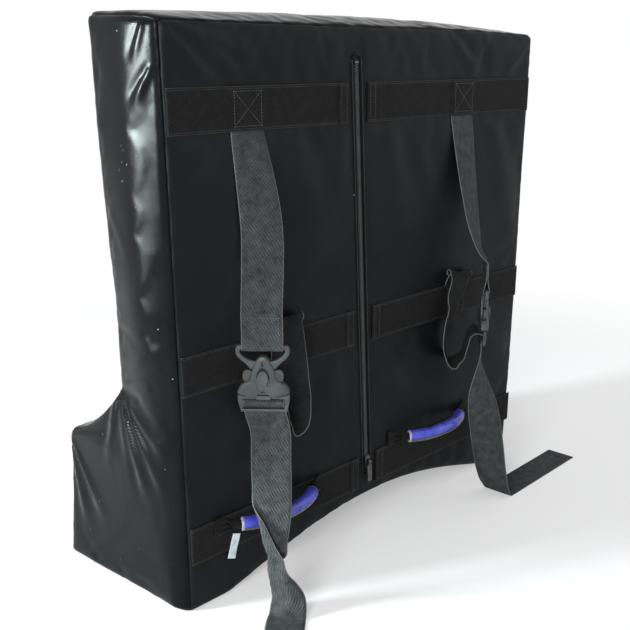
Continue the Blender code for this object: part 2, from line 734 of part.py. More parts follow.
def ribbon_mesh(name, line, across=2, lag=0.0, thickness=WEB_THICKNESS):
    """A web along a line of (x, y, z, turn). With a lag, one edge turns first, so the web curls."""
    centre = line[:, :3]
    turns = line[:, 3]
    lengths = np.concatenate(([0], np.cumsum(np.linalg.norm(np.diff(centre, axis=0), axis=1))))
    tangent = np.gradient(centre, axis=0)
    tangent /= np.linalg.norm(tangent, axis=1)[:, None]
    shares = np.linspace(-0.5, 0.5, across + 1)
    grid = np.zeros((len(line), across + 1, 3))
    middle = across // 2
    for row in range(len(line)):
        grid[row, middle] = centre[row]
        for direction in (-1, 1):
            place = centre[row].copy()
            column = middle
            while 0 <= column + direction <= across:
                share = (shares[column] + shares[column + direction]) / 2
                turn = math.radians(np.interp(lengths[row] - share * lag, lengths, turns))
                wide = np.array((math.cos(turn), math.sin(turn), 0))
                wide -= tangent[row] * wide.dot(tangent[row])
                wide /= np.linalg.norm(wide)
                place = place + direction * wide * WEB_WIDTH / across
                column += direction
                grid[row, column] = place
    grid[:, :, 2] = np.maximum(grid[:, :, 2], FLOOR_CLEAR)
    along = np.gradient(grid, axis=0)
    sideways = np.gradient(grid, axis=1)
    normal = np.cross(along, sideways)
    normal /= np.linalg.norm(normal, axis=2)[:, :, None]
    layers = (grid - normal * thickness / 2, grid + normal * thickness / 2)
    return lattice_mesh(name, (len(line) - 1, across, 1), lambda i, j, k: layers[k][i, j])


def half_turn(drop, radius, steps, under=True):
    """Points round a bar, from its front to its back, as (out, drop) in the buckle's frame."""
    points = []
    for step in range(steps + 1):
        angle = math.pi * step / steps
        down = math.sin(angle) if under else -math.sin(angle)
        points.append((-radius * math.cos(angle), drop + radius * down))
    return points


BUCKLE_HALF = WEB_WIDTH / 2 + BUCKLE_SIDE
ADJUSTER_TOP = BUCKLE_LENGTH - ADJUSTER_DROP
CORNER_SHARE = 1.3
WRAP_RADIUS = FRAME_THICKNESS / 2 * 1.1 + GAP + WEB_THICKNESS / 2
BAR_CLEAR = RING_BAR / 2 * CORNER_SHARE + GAP + WEB_THICKNESS / 2

# Each station is the place across in web widths, out in stand-offs, up in shares of the drop, and the turn
LEFT_UPPER_SHARES = (
    (0.00, 0.026, 1.0, 0),
    (0.03, 0.10, 0.90, -6),
    (0.05, 0.27, 0.76, -18),
    (0.00, 0.55, 0.54, -34),
    (-0.20, 0.80, 0.34, -45),
    (-0.36, 0.95, 0.16, -48),
)
RIGHT_UPPER_SHARES = (
    (0.00, 0.018, 1.0, 0),
    (0.05, 0.07, 0.90, 4),
    (0.09, 0.22, 0.74, 14),
    (0.09, 0.50, 0.52, 30),
    (0.06, 0.78, 0.30, 40),
    (0.03, 0.96, 0.14, 41),
)
# Slack webs: across, out and up from the seam at the middle band's top edge, in web widths
LEFT_SLACK_SHARES = (
    (0.00, 0.08, 0.24, 0),
    (0.00, 0.20, 0.40, 0),
    (0.02, 0.32, 0.16, -4),
    (0.04, 0.42, -0.50, -10),
    (0.02, 0.48, -1.20, -20),
    (-0.06, 0.54, -1.90, -36),
    (-0.26, 0.57, -2.38, -54),
    (-0.60, 0.56, -2.54, -62),
    (-0.88, 0.52, -2.30, -58),
    (-1.00, 0.50, -1.90, -50),
)
RIGHT_SLACK_SHARES = (
    (0.00, 0.08, 0.22, 2),
    (0.02, 0.17, 0.36, 4),
    (-0.05, 0.24, 0.20, 6),
    (-0.30, 0.27, -0.30, 12),
    (-0.48, 0.31, -0.70, 20),
    (-0.84, 0.38, -1.19, 31),
    (-0.94, 0.42, -1.83, 38),
    (-0.65, 0.51, -2.31, 41),
    (-0.41, 0.67, -2.17, 41),
    (-0.36, 0.83, -1.71, 41),
)
# The slack web's last places, out from the buckle and down from its top, in shares of its length
WRAP_START_SHARES = ((0.085, 0.802), (0.06, 0.812), (0.03, 0.820))
SLACK_END_SHARES = ((0.23, 0.87), (0.16, 0.80), (0.090, 0.799))
LEFT_TAIL_SHARES = (
    (-0.27, 1.06, 0.91, -48),
    (-0.39, 1.25, 0.76, -48),
    (-0.54, 1.45, 0.63, -48),
    (-0.71, 1.63, 0.50, -48),
    (-0.95, 1.78, 0.37, -44),
    (-0.99, 1.86, 0.29, 88),
    (-0.76, 2.02, 0.16, 97),
    (-0.69, 2.25, 0.07, 104),
)
RIGHT_TAIL_SHARES = (
    (-0.02, 1.00, 0.90, 38),
    (-0.02, 1.06, 0.78, 14),
    (-0.02, 1.14, 0.64, -22),
    (0.06, 1.22, 0.48, -46),
    (0.16, 1.30, 0.32, -56),
    (0.26, 1.38, 0.17, -70),
    (0.38, 1.46, 0.07, -82),
)
LEFT_FLOOR_TURN = 132.0
LEFT_FLOOR_HEADING = 222.0
RIGHT_FLOOR_TURN = -88.0
RIGHT_FLOOR_HEADING = 2.0
LEFT_TAIL_LAG = 130 * MM
RIGHT_TAIL_LAG = 45 * MM
TAIL_FLOOR_LENGTH = 205 * MM
FLOOR_BEND = 10 * MM


def on_axes(frame, out, drop):
    """A place in a buckle's frame: out towards its back, drop below its top, as a world point."""
    x, y, z, turn = frame
    angle = math.radians(turn)
    return (x - math.sin(angle) * out, y + math.cos(angle) * out, z - drop)


def routed(shares, strap_x, standoff, low, high):
    """Stations worked out from shares, with heights between low and high."""
    return [
        (strap_x + across * WEB_WIDTH, -out * standoff, low + rise * (high - low), turn)
        for across, out, rise, turn in shares
    ]


def add_strap(
    side, strap_x, slack_x, standoff, shift, turn, upper, slack, tail, floor_turn, floor_heading, lag
):
    """One shoulder strap with its buckle: anchor, upper strap, slack web and tail."""
    low = TOP_BAND_HEIGHT - WEB_WIDTH / 2
    anchor = box_mesh(
        side + "_strap_anchor",
        (strap_x - WEB_WIDTH / 2, -LAYER, low),
        (strap_x + WEB_WIDTH / 2, -GAP, TOP_BAND_HEIGHT + WEB_WIDTH / 2),
    )
    add_object(side + "_strap_anchor", anchor, WEBBING)
    frame = (strap_x + shift, -standoff, BUCKLE_TOP_HEIGHT, turn)
    hinge = (strap_x, -LAYER, low - GAP)
    strap_frame = add_empty(side + "_strap_frame", hinge)

    def add_web(name, line, **options):
        mesh = ribbon_mesh(name, line, **options)
        mesh.transform(Matrix.Translation(-Vector(hinge)))
        add_object(name, mesh, WEBBING, parent=strap_frame)

    layer_out = WEB_THICKNESS / 2 + GAP / 2
    stations = routed(upper, strap_x, standoff, BUCKLE_TOP_HEIGHT, low - GAP)
    start = (strap_x, -GAP - WEB_THICKNESS / 2, low - GAP, 0)
    stations[0] = (strap_x, -GAP - WEB_THICKNESS / 2, low - WEB_WIDTH / 10, 0)
    wrap = [(-layer_out, -TURN_BACK * 0.45), (-layer_out * 2, -TURN_BACK * 0.25)]
    wrap += half_turn(RING_BAR / 2, BAR_CLEAR, 8)
    wrap += [(layer_out * 2, -TURN_BACK * 0.25), (layer_out, -TURN_BACK * 0.45), (layer_out, -TURN_BACK)]
    stations.append((*on_axes(frame, -layer_out, -TURN_BACK), turn))
    line = [np.array(start), *smooth_line(stations, 3)]
    line += [np.array((*on_axes(frame, out, drop), turn)) for out, drop in wrap]
    add_web(side + "_upper_strap", np.array(line))

    buckle_frame = add_empty(
        side + "_buckle_frame",
        Vector(frame[:3]) - Vector(hinge),
        turn=turn,
        parent=strap_frame,
    )
    add_buckle(side, buckle_frame)

    band_top = MIDDLE_BAND_HEIGHT + WEB_WIDTH / 2
    start = (slack_x, -GAP - WEB_THICKNESS / 2, MIDDLE_BAND_HEIGHT - WEB_WIDTH / 2, 0)
    stations = [(slack_x, -GAP - WEB_THICKNESS / 2, band_top, 0)]
    for across, out, up, slack_turn in slack:
        place = (slack_x + across * WEB_WIDTH, -out * WEB_WIDTH, band_top + up * WEB_WIDTH)
        stations.append((*place, slack_turn))
    for out, drop in SLACK_END_SHARES:
        stations.append((*on_axes(frame, out * BUCKLE_LENGTH, drop * BUCKLE_LENGTH), turn))
    line = np.vstack((start, smooth_line(stations, 3)))
    add_object(side + "_slack_web", ribbon_mesh(side + "_slack_web", line), WEBBING)

    bar = ADJUSTER_TOP + ADJUSTER_BAR / 2
    wrap = [(out * BUCKLE_LENGTH, drop * BUCKLE_LENGTH) for out, drop in WRAP_START_SHARES]
    wrap += half_turn(bar, WRAP_RADIUS, 8, under=False)[4::-1]
    wrap += [
        (-WRAP_RADIUS * 0.96, bar + ADJUSTER_BAR * 0.45),
        (-WRAP_RADIUS * 0.65, bar + ADJUSTER_BAR * 0.93),
        (0, bar + ADJUSTER_BAR * 1.43),
        (WRAP_RADIUS * 0.65, bar + ADJUSTER_BAR * 1.93),
        (WRAP_RADIUS * 0.96, bar + ADJUSTER_BAR * 2.41),
        (WRAP_RADIUS, BUCKLE_LENGTH),
    ]
    line = [np.array((*on_axes(frame, out, drop), turn)) for out, drop in wrap]
    plug_low = BUCKLE_TOP_HEIGHT - BUCKLE_LENGTH
    stations = [tuple(line[-1])] + routed(tail, strap_x, standoff, 0, plug_low)
    heading = math.radians(floor_heading)
    step = np.array((math.cos(heading), math.sin(heading), 0))
    touch = np.array(stations[-1][:3]) + step * FLOOR_BEND * 1.5
    touch[2] = FLOOR_CLEAR
    for share in (0.0, 0.1, 0.4, 0.7, 1.0):
        stations.append((*(touch + step * TAIL_FLOOR_LENGTH * share), floor_turn))
    line = np.vstack((line[:-1], smooth_line(stations, 3)))
    across = 4 if lag < WEB_WIDTH else 6
    add_web(side + "_tail_web", line, across=across, lag=lag)


# Each outline is half of the piece, in shares of the buckle's half width and of its length down from the top
RING_OUTER_SHARES = (
    (0.86, 0.0), (0.95, 0.012), (1.0, 0.05), (1.0, 0.12), (0.90, 0.19),
    (0.68, 0.262), (0.52, 0.32), (0.44, 0.40),
)
RING_HOLE_SHARES = (
    (0.80, 0.066), (0.84, 0.09), (0.82, 0.125), (0.64, 0.19), (0.38, 0.235), (0.0, 0.245),
)
SOCKET_SHARES = (
    (0.0, 0.158), (0.13, 0.172), (0.25, 0.225), (0.34, 0.30), (0.42, 0.365), (0.45, 0.43),
    (0.50, 0.50), (0.62, 0.540), (0.78, 0.565), (0.90, 0.62), (0.97, 0.69), (0.97, 0.715),
    (0.70, 0.755), (0.29, 0.78), (0.29, 0.735),
)
CAVITY_SHARES = (
    (0.30, 0.36), (0.34, 0.345), (1.1, 0.345), (1.1, 0.545), (0.72, 0.545), (0.72, 0.9),
)
ARM_SHARES = (
    (0.16, 0.70), (0.16, 0.62), (0.34, 0.50), (0.40, 0.392), (0.46, 0.374), (0.60, 0.365),
    (0.70, 0.38), (0.76, 0.43), (0.755, 0.50), (0.70, 0.537), (0.60, 0.545), (0.50, 0.60), (0.36, 0.70),
)
BASE_SHARES = ((0.68, 0.705), (0.68, 0.772), (0.97, 0.737), (0.97, 0.83), (0.87, 1.0))
GUIDE_SHARES = ((0.06, 0.42), (0.10, 0.45), (0.10, 0.72))
TAB_SHARES = ((0.27, 0.745), (0.27, 0.80))
RECESS_CENTRE_SHARE = 0.48
RECESS_SHARES = (0.18, 0.12)
NOSE_SLOT_SHARE = 0.26
RECESS_DEPTH = 1 * MM
ADJUSTER_SLOT = 3.2 * MM
ARM_PINCH = 7.0


def buckle_outline(shares):
    return mirrored([(BUCKLE_HALF * x, -BUCKLE_LENGTH * w) for x, w in shares])


def oval(centre, half_x, half_z, steps=16):
    points = []
    for step in range(steps):
        angle = math.tau * step / steps
        points.append((half_x * math.cos(angle), centre + half_z * math.sin(angle)))
    return points


def add_buckle(side, frame):
    """The socket with its ring bar, nose and windows, the plug with its adjuster, and the plug's two arms."""
    plate = outline_mesh(
        side + "_buckle_socket",
        [buckle_outline(RING_OUTER_SHARES), buckle_outline(RING_HOLE_SHARES)],
        RING_THICKNESS,
        EDGE_ROUNDING,
    )
    socket = add_object(side + "_buckle_socket", plate, BUCKLE_PLASTIC, parent=frame)
    body = outline_mesh(side + "_socket_body", [buckle_outline(SOCKET_SHARES)], SOCKET_THICKNESS, EDGE_ROUNDING)
    boolean(socket, add_object(side + "_socket_body", body, parent=frame, cutter=True), "UNION")
    cavity = outline_mesh(side + "_socket_cavity", [buckle_outline(CAVITY_SHARES)], CAVITY_THICKNESS)
    boolean(socket, add_object(side + "_socket_cavity", cavity, parent=frame, cutter=True))
    front = -SOCKET_THICKNESS / 2
    recess_half = (BUCKLE_HALF * RECESS_SHARES[0], BUCKLE_LENGTH * RECESS_SHARES[1])
    for name, centre, half_x, half_z in (
        ("_socket_recess", RECESS_CENTRE_SHARE, recess_half[0], recess_half[1]),
        ("_socket_slot", NOSE_SLOT_SHARE, recess_half[0] / 3.5, recess_half[1] / 2.5),
    ):
        hollow = outline_mesh(side + name, [oval(-BUCKLE_LENGTH * centre, half_x, half_z)], 2 * RECESS_DEPTH)
        hollow.transform(Matrix.Translation((0, front, 0)))
        boolean(socket, add_object(side + name, hollow, parent=frame, cutter=True))

    slot_half = WEB_WIDTH / 2 + 2 * GAP
    bar_top = -ADJUSTER_TOP
    bar_low = bar_top - ADJUSTER_BAR
    foot_bar = -BUCKLE_LENGTH + ADJUSTER_BAR
    slots = [
        [(-slot_half, bar_top), (slot_half, bar_top), (slot_half, bar_top + ADJUSTER_SLOT),
         (-slot_half, bar_top + ADJUSTER_SLOT)],
        [(-slot_half, foot_bar), (slot_half, foot_bar), (slot_half, bar_low), (-slot_half, bar_low)],
    ]
    base = outline_mesh(
        side + "_buckle_plug", [buckle_outline(BASE_SHARES), *slots], FRAME_THICKNESS, EDGE_ROUNDING
    )
    plug = add_object(side + "_buckle_plug", base, BUCKLE_PLASTIC, parent=frame)
    guide = outline_mesh(side + "_plug_guide", [buckle_outline(GUIDE_SHARES)], ARM_THICKNESS)
    boolean(plug, add_object(side + "_plug_guide", guide, parent=frame, cutter=True), "UNION")
    tab = outline_mesh(side + "_plug_tab", [buckle_outline(TAB_SHARES)], SOCKET_THICKNESS, EDGE_ROUNDING)
    tab.transform(Matrix.Diagonal((1, 0.5, 1, 1)))
    tab.transform(Matrix.Translation((0, front / 2, 0)))
    boolean(plug, add_object(side + "_plug_tab", tab, parent=frame, cutter=True), "UNION")

    root = (BUCKLE_HALF * 0.26, -BUCKLE_LENGTH * 0.69)
    for sign, word in ((-1, "left"), (1, "right")):
        outline = [
            (sign * (BUCKLE_HALF * x - root[0]), -BUCKLE_LENGTH * w - root[1]) for x, w in ARM_SHARES
        ]
        name = side + "_buckle_arm_" + word
        arm = outline_mesh(name, [outline], ARM_THICKNESS, EDGE_ROUNDING / 2)
        add_object(name, arm, BUCKLE_PLASTIC, parent=frame, location=(sign * root[0], 0, root[1]))


add_strap(
    "left", LEFT_STRAP_X, LEFT_SLACK_X, LEFT_STANDOFF, LEFT_BUCKLE_SHIFT, LEFT_BUCKLE_TURN,
    LEFT_UPPER_SHARES, LEFT_SLACK_SHARES, LEFT_TAIL_SHARES, LEFT_FLOOR_TURN, LEFT_FLOOR_HEADING,
    LEFT_TAIL_LAG,
)
add_strap(
    "right", RIGHT_STRAP_X, RIGHT_STRAP_X, RIGHT_STANDOFF, RIGHT_BUCKLE_SHIFT, RIGHT_BUCKLE_TURN,
    RIGHT_UPPER_SHARES, RIGHT_SLACK_SHARES, RIGHT_TAIL_SHARES, RIGHT_FLOOR_TURN, RIGHT_FLOOR_HEADING,
    RIGHT_TAIL_LAG,
)

# Handles

BAND_FRONT = -GAP - WEB_THICKNESS
HANDLE_AXIS_Y = BAND_FRONT - GAP - HANDLE_BUNDLE


def section_loft(name, sections, sides=10):
    """A closed loft of ovals, each a centre, a half width along Z and a half depth along its normal."""
    shape = bmesh.new()
    rings = []
    for centre, normal, half_up, half_out in sections:
        ring = []
        for step in range(sides):
            angle = math.tau * step / sides
            place = Vector(centre)
            place += Vector((0, 0, 1)) * half_up * math.cos(angle)
            place += Vector(normal) * half_out * math.sin(angle)
            ring.append(shape.verts.new(place))
        rings.append(ring)
    for ring, following in zip(rings, rings[1:]):
        for step in range(sides):
            after = (step + 1) % sides
            shape.faces.new((ring[step], ring[after], following[after], following[step]))
    shape.faces.new(rings[0])
    shape.faces.new(rings[-1])
    bmesh.ops.recalc_face_normals(shape, faces=shape.faces)
    mesh = bpy.data.meshes.new(name)
    shape.to_mesh(mesh)
    shape.free()
    mesh.shade_smooth()
    mesh.set_sharp_from_angle(angle=math.radians(40))
    return mesh


def handle_place(share):
    """A place along a handle, from -1 to 1, as (x, y), with the direction square to it."""
    x = share * HANDLE_SPAN / 2
    reach = GRIP_REACH * (1 - abs(share) ** 2.4)
    slope = 0.0
    if share:
        slope = GRIP_REACH * 2.4 * abs(share) ** 1.4 * math.copysign(1, share) / (HANDLE_SPAN / 2)
    along = Vector((1, slope if abs(share) < 1 else 0, 0)).normalized()
    return (x, -reach, 0), (along.y, -along.x, 0)


def add_handle(side, middle_x, height):
    """A gathered web between two sewn ends, with a plastic tube for the hand round it."""
    axis = (middle_x, HANDLE_AXIS_Y, height)
    handle_frame = add_empty(side + "_handle_frame", axis)
    steps = 20
    sections = []
    for step in range(steps + 1):
        share = -1 + 2 * step / steps
        place, normal = handle_place(share)
        gathered = HANDLE_BUNDLE * (1 - 0.12 * abs(share) ** 8)
        sections.append((place, normal, gathered, gathered * 0.92))
    web = section_loft(side + "_handle_web", sections)
    add_object(side + "_handle_web", web, WEBBING, parent=handle_frame)

    curve = bpy.data.curves.new(side + "_grip", "CURVE")
    curve.dimensions = "3D"
    curve.bevel_depth = GRIP_RADIUS
    curve.bevel_resolution = 3
    curve.use_fill_caps = False
    spline = curve.splines.new("POLY")
    count = 12
    reach_share = GRIP_LENGTH / HANDLE_SPAN
    spline.points.add(count)
    for step, target in enumerate(spline.points):
        place, _ = handle_place(reach_share * (-1 + 2 * step / count))
        target.co = (*place, 1)
    guide = bpy.data.objects.new(side + "_grip", curve)
    bpy.context.scene.collection.objects.link(guide)
    bpy.context.view_layer.update()
    evaluated = guide.evaluated_get(bpy.context.evaluated_depsgraph_get())
    mesh = bpy.data.meshes.new_from_object(evaluated)
    bpy.data.objects.remove(guide)
    grip = add_object(side + "_grip", mesh, GRIP_PLASTIC, parent=handle_frame)
    wall = grip.modifiers.new("wall", "SOLIDIFY")
    wall.thickness = GRIP_WALL
    wall.offset = -1
    mesh.shade_smooth()

    for sign, word in ((-1, "left"), (1, "right")):
        gathered = HANDLE_BUNDLE * 0.88
        inner = middle_x + sign * (HANDLE_SPAN / 2 + GAP)
        flat = -GAP - WEB_THICKNESS
        sections = []
        for share, half_up, half_out in (
            (0.0, gathered, gathered * 0.92),
            (0.3, ANCHOR_HEIGHT * 0.30, gathered * 0.75),
            (0.65, ANCHOR_HEIGHT * 0.44, gathered * 0.4),
            (1.0, ANCHOR_HEIGHT * 0.5, WEB_THICKNESS * 0.8),
        ):
            centre = (inner + sign * ANCHOR_LENGTH * share, flat - GAP - half_out, height)
            sections.append((centre, (0, -1, 0), half_up, half_out))
        sections[0] = ((inner, HANDLE_AXIS_Y, height), (0, -1, 0), gathered, gathered * 0.92)
        name = side + "_handle_end_" + word
        add_object(name, section_loft(name, sections), WEBBING)


add_handle("left", LEFT_HANDLE_INSET - PAD_WIDTH / 2, LEFT_HANDLE_HEIGHT)
add_handle("right", PAD_WIDTH / 2 - RIGHT_HANDLE_INSET, RIGHT_HANDLE_HEIGHT)


def add_tag():
    """The small bare tag that hangs below the left handle's outer end."""
    x = LEFT_HANDLE_INSET - PAD_WIDTH / 2 - HANDLE_SPAN / 2 - ANCHOR_LENGTH / 3
    top = LEFT_HANDLE_HEIGHT - ANCHOR_HEIGHT / 2 - GAP
    front = BAND_FRONT - GAP
    mesh = box_mesh(
        "blank_tag",
        (-TAG_WIDTH / 2, front - TAG_THICKNESS, -TAG_LENGTH),
        (TAG_WIDTH / 2, front, 0),
    )
    tag = add_object("blank_tag", mesh, TAG_FABRIC, location=(x, 0, top))
    tag.rotation_euler = (0, math.radians(14), 0)


add_tag()


def centre_on_floor():
    """Puts everything in one frame, whose origin is under the middle of the whole object's box."""
    base = add_empty("ruck_pad_frame", (0, 0, 0))
    for item in parts.objects:
        if item.parent is None and item != base:
            item.parent = base
    bpy.context.view_layer.update()
    depsgraph = bpy.context.evaluated_depsgraph_get()
    corners = []
    for item in parts.objects:
        if item.type == "MESH":
            mesh = item.evaluated_get(depsgraph).to_mesh()
            corners += [item.matrix_world @ vertex.co for vertex in mesh.vertices]
    corners = np.array(corners)
    low = corners.min(axis=0)
    high = corners.max(axis=0)
    base.location = (-(low[0] + high[0]) / 2, -(low[1] + high[1]) / 2, -low[2])
    bpy.context.view_layer.update()
    print("offset", [round(value, 6) for value in base.location])
    print("size", [round(float(value), 6) for value in high - low])


centre_on_floor()
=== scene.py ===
import math

import bmesh
import bpy
import numpy as np
from mathutils import Matrix, Vector


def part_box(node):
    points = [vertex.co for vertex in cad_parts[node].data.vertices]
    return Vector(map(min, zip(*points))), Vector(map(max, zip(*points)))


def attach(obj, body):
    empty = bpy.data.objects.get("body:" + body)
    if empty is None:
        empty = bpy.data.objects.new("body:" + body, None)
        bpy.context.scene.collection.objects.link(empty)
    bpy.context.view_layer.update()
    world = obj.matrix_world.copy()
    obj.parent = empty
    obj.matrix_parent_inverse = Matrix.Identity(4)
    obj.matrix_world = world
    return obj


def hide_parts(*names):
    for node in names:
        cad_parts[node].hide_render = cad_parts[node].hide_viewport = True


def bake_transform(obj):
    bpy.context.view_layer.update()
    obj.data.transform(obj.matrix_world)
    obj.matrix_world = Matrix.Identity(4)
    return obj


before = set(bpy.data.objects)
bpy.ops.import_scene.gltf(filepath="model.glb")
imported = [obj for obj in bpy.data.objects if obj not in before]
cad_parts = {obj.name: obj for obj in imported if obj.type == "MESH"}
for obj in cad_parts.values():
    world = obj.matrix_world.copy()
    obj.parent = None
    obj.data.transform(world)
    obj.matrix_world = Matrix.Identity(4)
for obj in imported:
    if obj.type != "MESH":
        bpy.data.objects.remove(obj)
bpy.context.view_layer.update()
scene = bpy.context.scene
mm = 0.001

# where the pad's own corner of measures lies in the frame
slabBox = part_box("foam_slab")
padShift = np.array(((slabBox[0].x + slabBox[1].x) / 2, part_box("back_panel")[0].y, 0.0))

print("camera, floor and light")

cameraView = {
    "place": (-0.988, -0.8763, 0.6997),
    "right": (0.66411307, -0.74747364, 0.01539466),
    "down": (-0.24072676, -0.23328412, -0.94214072),
    "ahead": (0.70781669, 0.62198206, -0.33486394),
    "lens": 54.63,
    "shift": (-0.10317, 0.10317),
}
cameraData = bpy.data.cameras.new("studioCamera")
cameraData.lens = cameraView["lens"]
cameraData.sensor_width = 36
cameraData.shift_x, cameraData.shift_y = cameraView["shift"]
cameraData.clip_start = 0.05
studioCamera = bpy.data.objects.new("studioCamera", cameraData)
scene.collection.objects.link(studioCamera)
turned = Matrix((cameraView["right"], cameraView["down"], cameraView["ahead"]))
axes = Matrix((turned[0], -turned[1], -turned[2])).transposed()
studioCamera.matrix_world = Matrix.Translation(Vector(cameraView["place"]) + Vector(padShift)) @ axes.to_4x4()
scene.camera = studioCamera
scene.view_settings.view_transform = "Standard"


def addNode(tree, kind, inputs=None, **settings):
    node = tree.nodes.new(kind)
    for name, value in settings.items():
        setattr(node, name, value)
    for name, value in (inputs or {}).items():
        if isinstance(value, bpy.types.NodeSocket):
            tree.links.new(value, node.inputs[name])
        else:
            node.inputs[name].default_value = value
    return node


def seenDirectly(tree):
    # 1 for what the camera, a reflection or a clear surface looks at, 0 for what lights the object
    path = addNode(tree, "ShaderNodeLightPath")
    seen = path.outputs["Is Camera Ray"]
    for ray in ("Is Glossy Ray", "Is Transmission Ray"):
        seen = addNode(tree, "ShaderNodeMath", {0: seen, 1: path.outputs[ray]}, operation="MAXIMUM").outputs[0]
    return seen


def addFloor():
    # a pale floor that fades into the white backdrop beyond the object's shadow
    settings = {"half": 9.0, "colour": (0.90, 0.905, 0.91), "tint": (0.92, 0.925, 0.93), "fade": (0.75, 1.7),
                "leastFade": 0.35}
    mesh = bpy.data.meshes.new("studioFloor")
    half = settings["half"]
    mesh.from_pydata([(-half, -half, 0), (half, -half, 0), (half, half, 0), (-half, half, 0)], [], [(0, 1, 2, 3)])
    floor = bpy.data.objects.new("studioFloor", mesh)
    scene.collection.objects.link(floor)
    material = bpy.data.materials.new("paleFloor")
    material.use_nodes = True
    tree = material.node_tree
    tree.nodes.clear()
    place = addNode(tree, "ShaderNodeTexCoord")
    speckle = addNode(tree, "ShaderNodeTexNoise", {"Vector": place.outputs["Object"], "Scale": 6.0, "Detail": 3.0})
    tint = addNode(tree, "ShaderNodeMix", {"Factor": speckle.outputs["Fac"]}, data_type="RGBA")
    tint.inputs[6].default_value = (*settings["colour"], 1)
    tint.inputs[7].default_value = (*settings["tint"], 1)
    matte = addNode(tree, "ShaderNodeBsdfDiffuse", {"Color": tint.outputs[2]})
    white = addNode(tree, "ShaderNodeEmission", {"Color": (1, 1, 1, 1), "Strength": 1.0})
    reach = addNode(tree, "ShaderNodeVectorMath", {0: place.outputs["Object"]}, operation="LENGTH")
    far = addNode(tree, "ShaderNodeMapRange", {"Value": reach.outputs["Value"], 1: settings["fade"][0],
                                               2: settings["fade"][1], 3: settings["leastFade"], 4: 1.0},
                  interpolation_type="SMOOTHSTEP")
    shown = addNode(tree, "ShaderNodeMath", {0: far.outputs[0], 1: seenDirectly(tree)}, operation="MULTIPLY")
    mix = addNode(tree, "ShaderNodeMixShader", {0: shown.outputs[0], 1: matte.outputs[0], 2: white.outputs[0]})
    out = addNode(tree, "ShaderNodeOutputMaterial")
    tree.links.new(mix.outputs[0], out.inputs["Surface"])
    mesh.materials.append(material)


# the two windows make the long highlight beside the back seam of the left side
lamps = {
    "windowLeft": {"place": (-2.38, 1.22, 0.76), "aim": (-0.35, 0.05, 0.60), "size": (0.50, 0.42), "power": 150,
                   "colour": (0.87, 1.0, 1.0)},
    "windowLow": {"place": (-2.40, 1.16, 0.28), "aim": (-0.35, 0.05, 0.40), "size": (0.46, 0.56), "power": 26,
                  "colour": (0.90, 1.0, 1.0)},
    "keyLeft": {"place": (-2.8, -1.45, 1.35), "aim": (0, 0, 0.35), "size": (1.1, 1.0), "power": 78,
                "colour": (1, 1, 1)},
    "fillRight": {"place": (2.4, -1.8, 1.7), "aim": (0, 0, 0.35), "size": (1.6, 1.6), "power": 9,
                  "colour": (1, 1, 1)},
    "softTop": {"place": (0.2, 0.4, 3.0), "aim": (0, 0, 0.3), "size": (2.2, 2.2), "power": 8, "colour": (1, 1, 1)},
}


def addLamp(name, place, aim, size, power, colour):
    data = bpy.data.lights.new(name, "AREA")
    data.shape = "RECTANGLE"
    data.size, data.size_y = size
    data.energy = power
    data.color = colour
    lamp = bpy.data.objects.new(name, data)
    scene.collection.objects.link(lamp)
    lamp.location = place
    direction = Vector(aim) - Vector(place)
    lamp.rotation_euler = direction.to_track_quat("-Z", "Y").to_euler()


def addStudioLight():
    settings = {"ambient": 0.50, "background": (1, 1, 1, 1)}
    world = bpy.data.worlds.new("studioAir")
    scene.world = world
    world.use_nodes = True
    tree = world.node_tree
    tree.nodes.clear()
    strength = addNode(tree, "ShaderNodeMapRange", {"Value": seenDirectly(tree), 3: settings["ambient"], 4: 1.0})
    air = addNode(tree, "ShaderNodeBackground", {"Color": settings["background"], "Strength": strength.outputs[0]})
    out = addNode(tree, "ShaderNodeOutputWorld")
    tree.links.new(air.outputs[0], out.inputs["Surface"])
    for name, facts in lamps.items():
        addLamp(name, **facts)


addFloor()
addStudioLight()

print("materials")


def newGroup(name, kind, inputs, outputs):
    # an empty node group with its named sockets, and its two end nodes
    group = bpy.data.node_groups.new(name, kind)
    for way, sockets in (("INPUT", inputs), ("OUTPUT", outputs)):
        for word, value in sockets.items():
            group.interface.new_socket(name=word, in_out=way, socket_type="NodeSocket" + value)
    return group, group.nodes.new("NodeGroupInput"), group.nodes.new("NodeGroupOutput")


def makeWovenGroup():
    # height of crossing threads over a flat pair of coordinates in metres
    group, start, finish = newGroup("wovenThreads", "ShaderNodeTree", {
        "Place": "Vector", "Pitch Across": "Float", "Pitch Along": "Float"}, {"Height": "Float"})
    parts = addNode(group, "ShaderNodeSeparateXYZ", {0: start.outputs["Place"]})
    waves = []
    for axis, pitch in ((0, "Pitch Across"), (1, "Pitch Along")):
        turns = addNode(group, "ShaderNodeMath", {0: parts.outputs[axis], 1: start.outputs[pitch]},
                        operation="DIVIDE")
        angle = addNode(group, "ShaderNodeMath", {0: turns.outputs[0], 1: math.tau}, operation="MULTIPLY")
        waves.append(addNode(group, "ShaderNodeMath", {0: angle.outputs[0]}, operation="SINE"))
    crossed = addNode(group, "ShaderNodeMath", {0: waves[0].outputs[0], 1: waves[1].outputs[0]}, operation="MULTIPLY")
    height = addNode(group, "ShaderNodeMapRange", {"Value": crossed.outputs[0], 1: -1.0, 2: 1.0})
    group.links.new(height.outputs[0], finish.inputs["Height"])
    return group


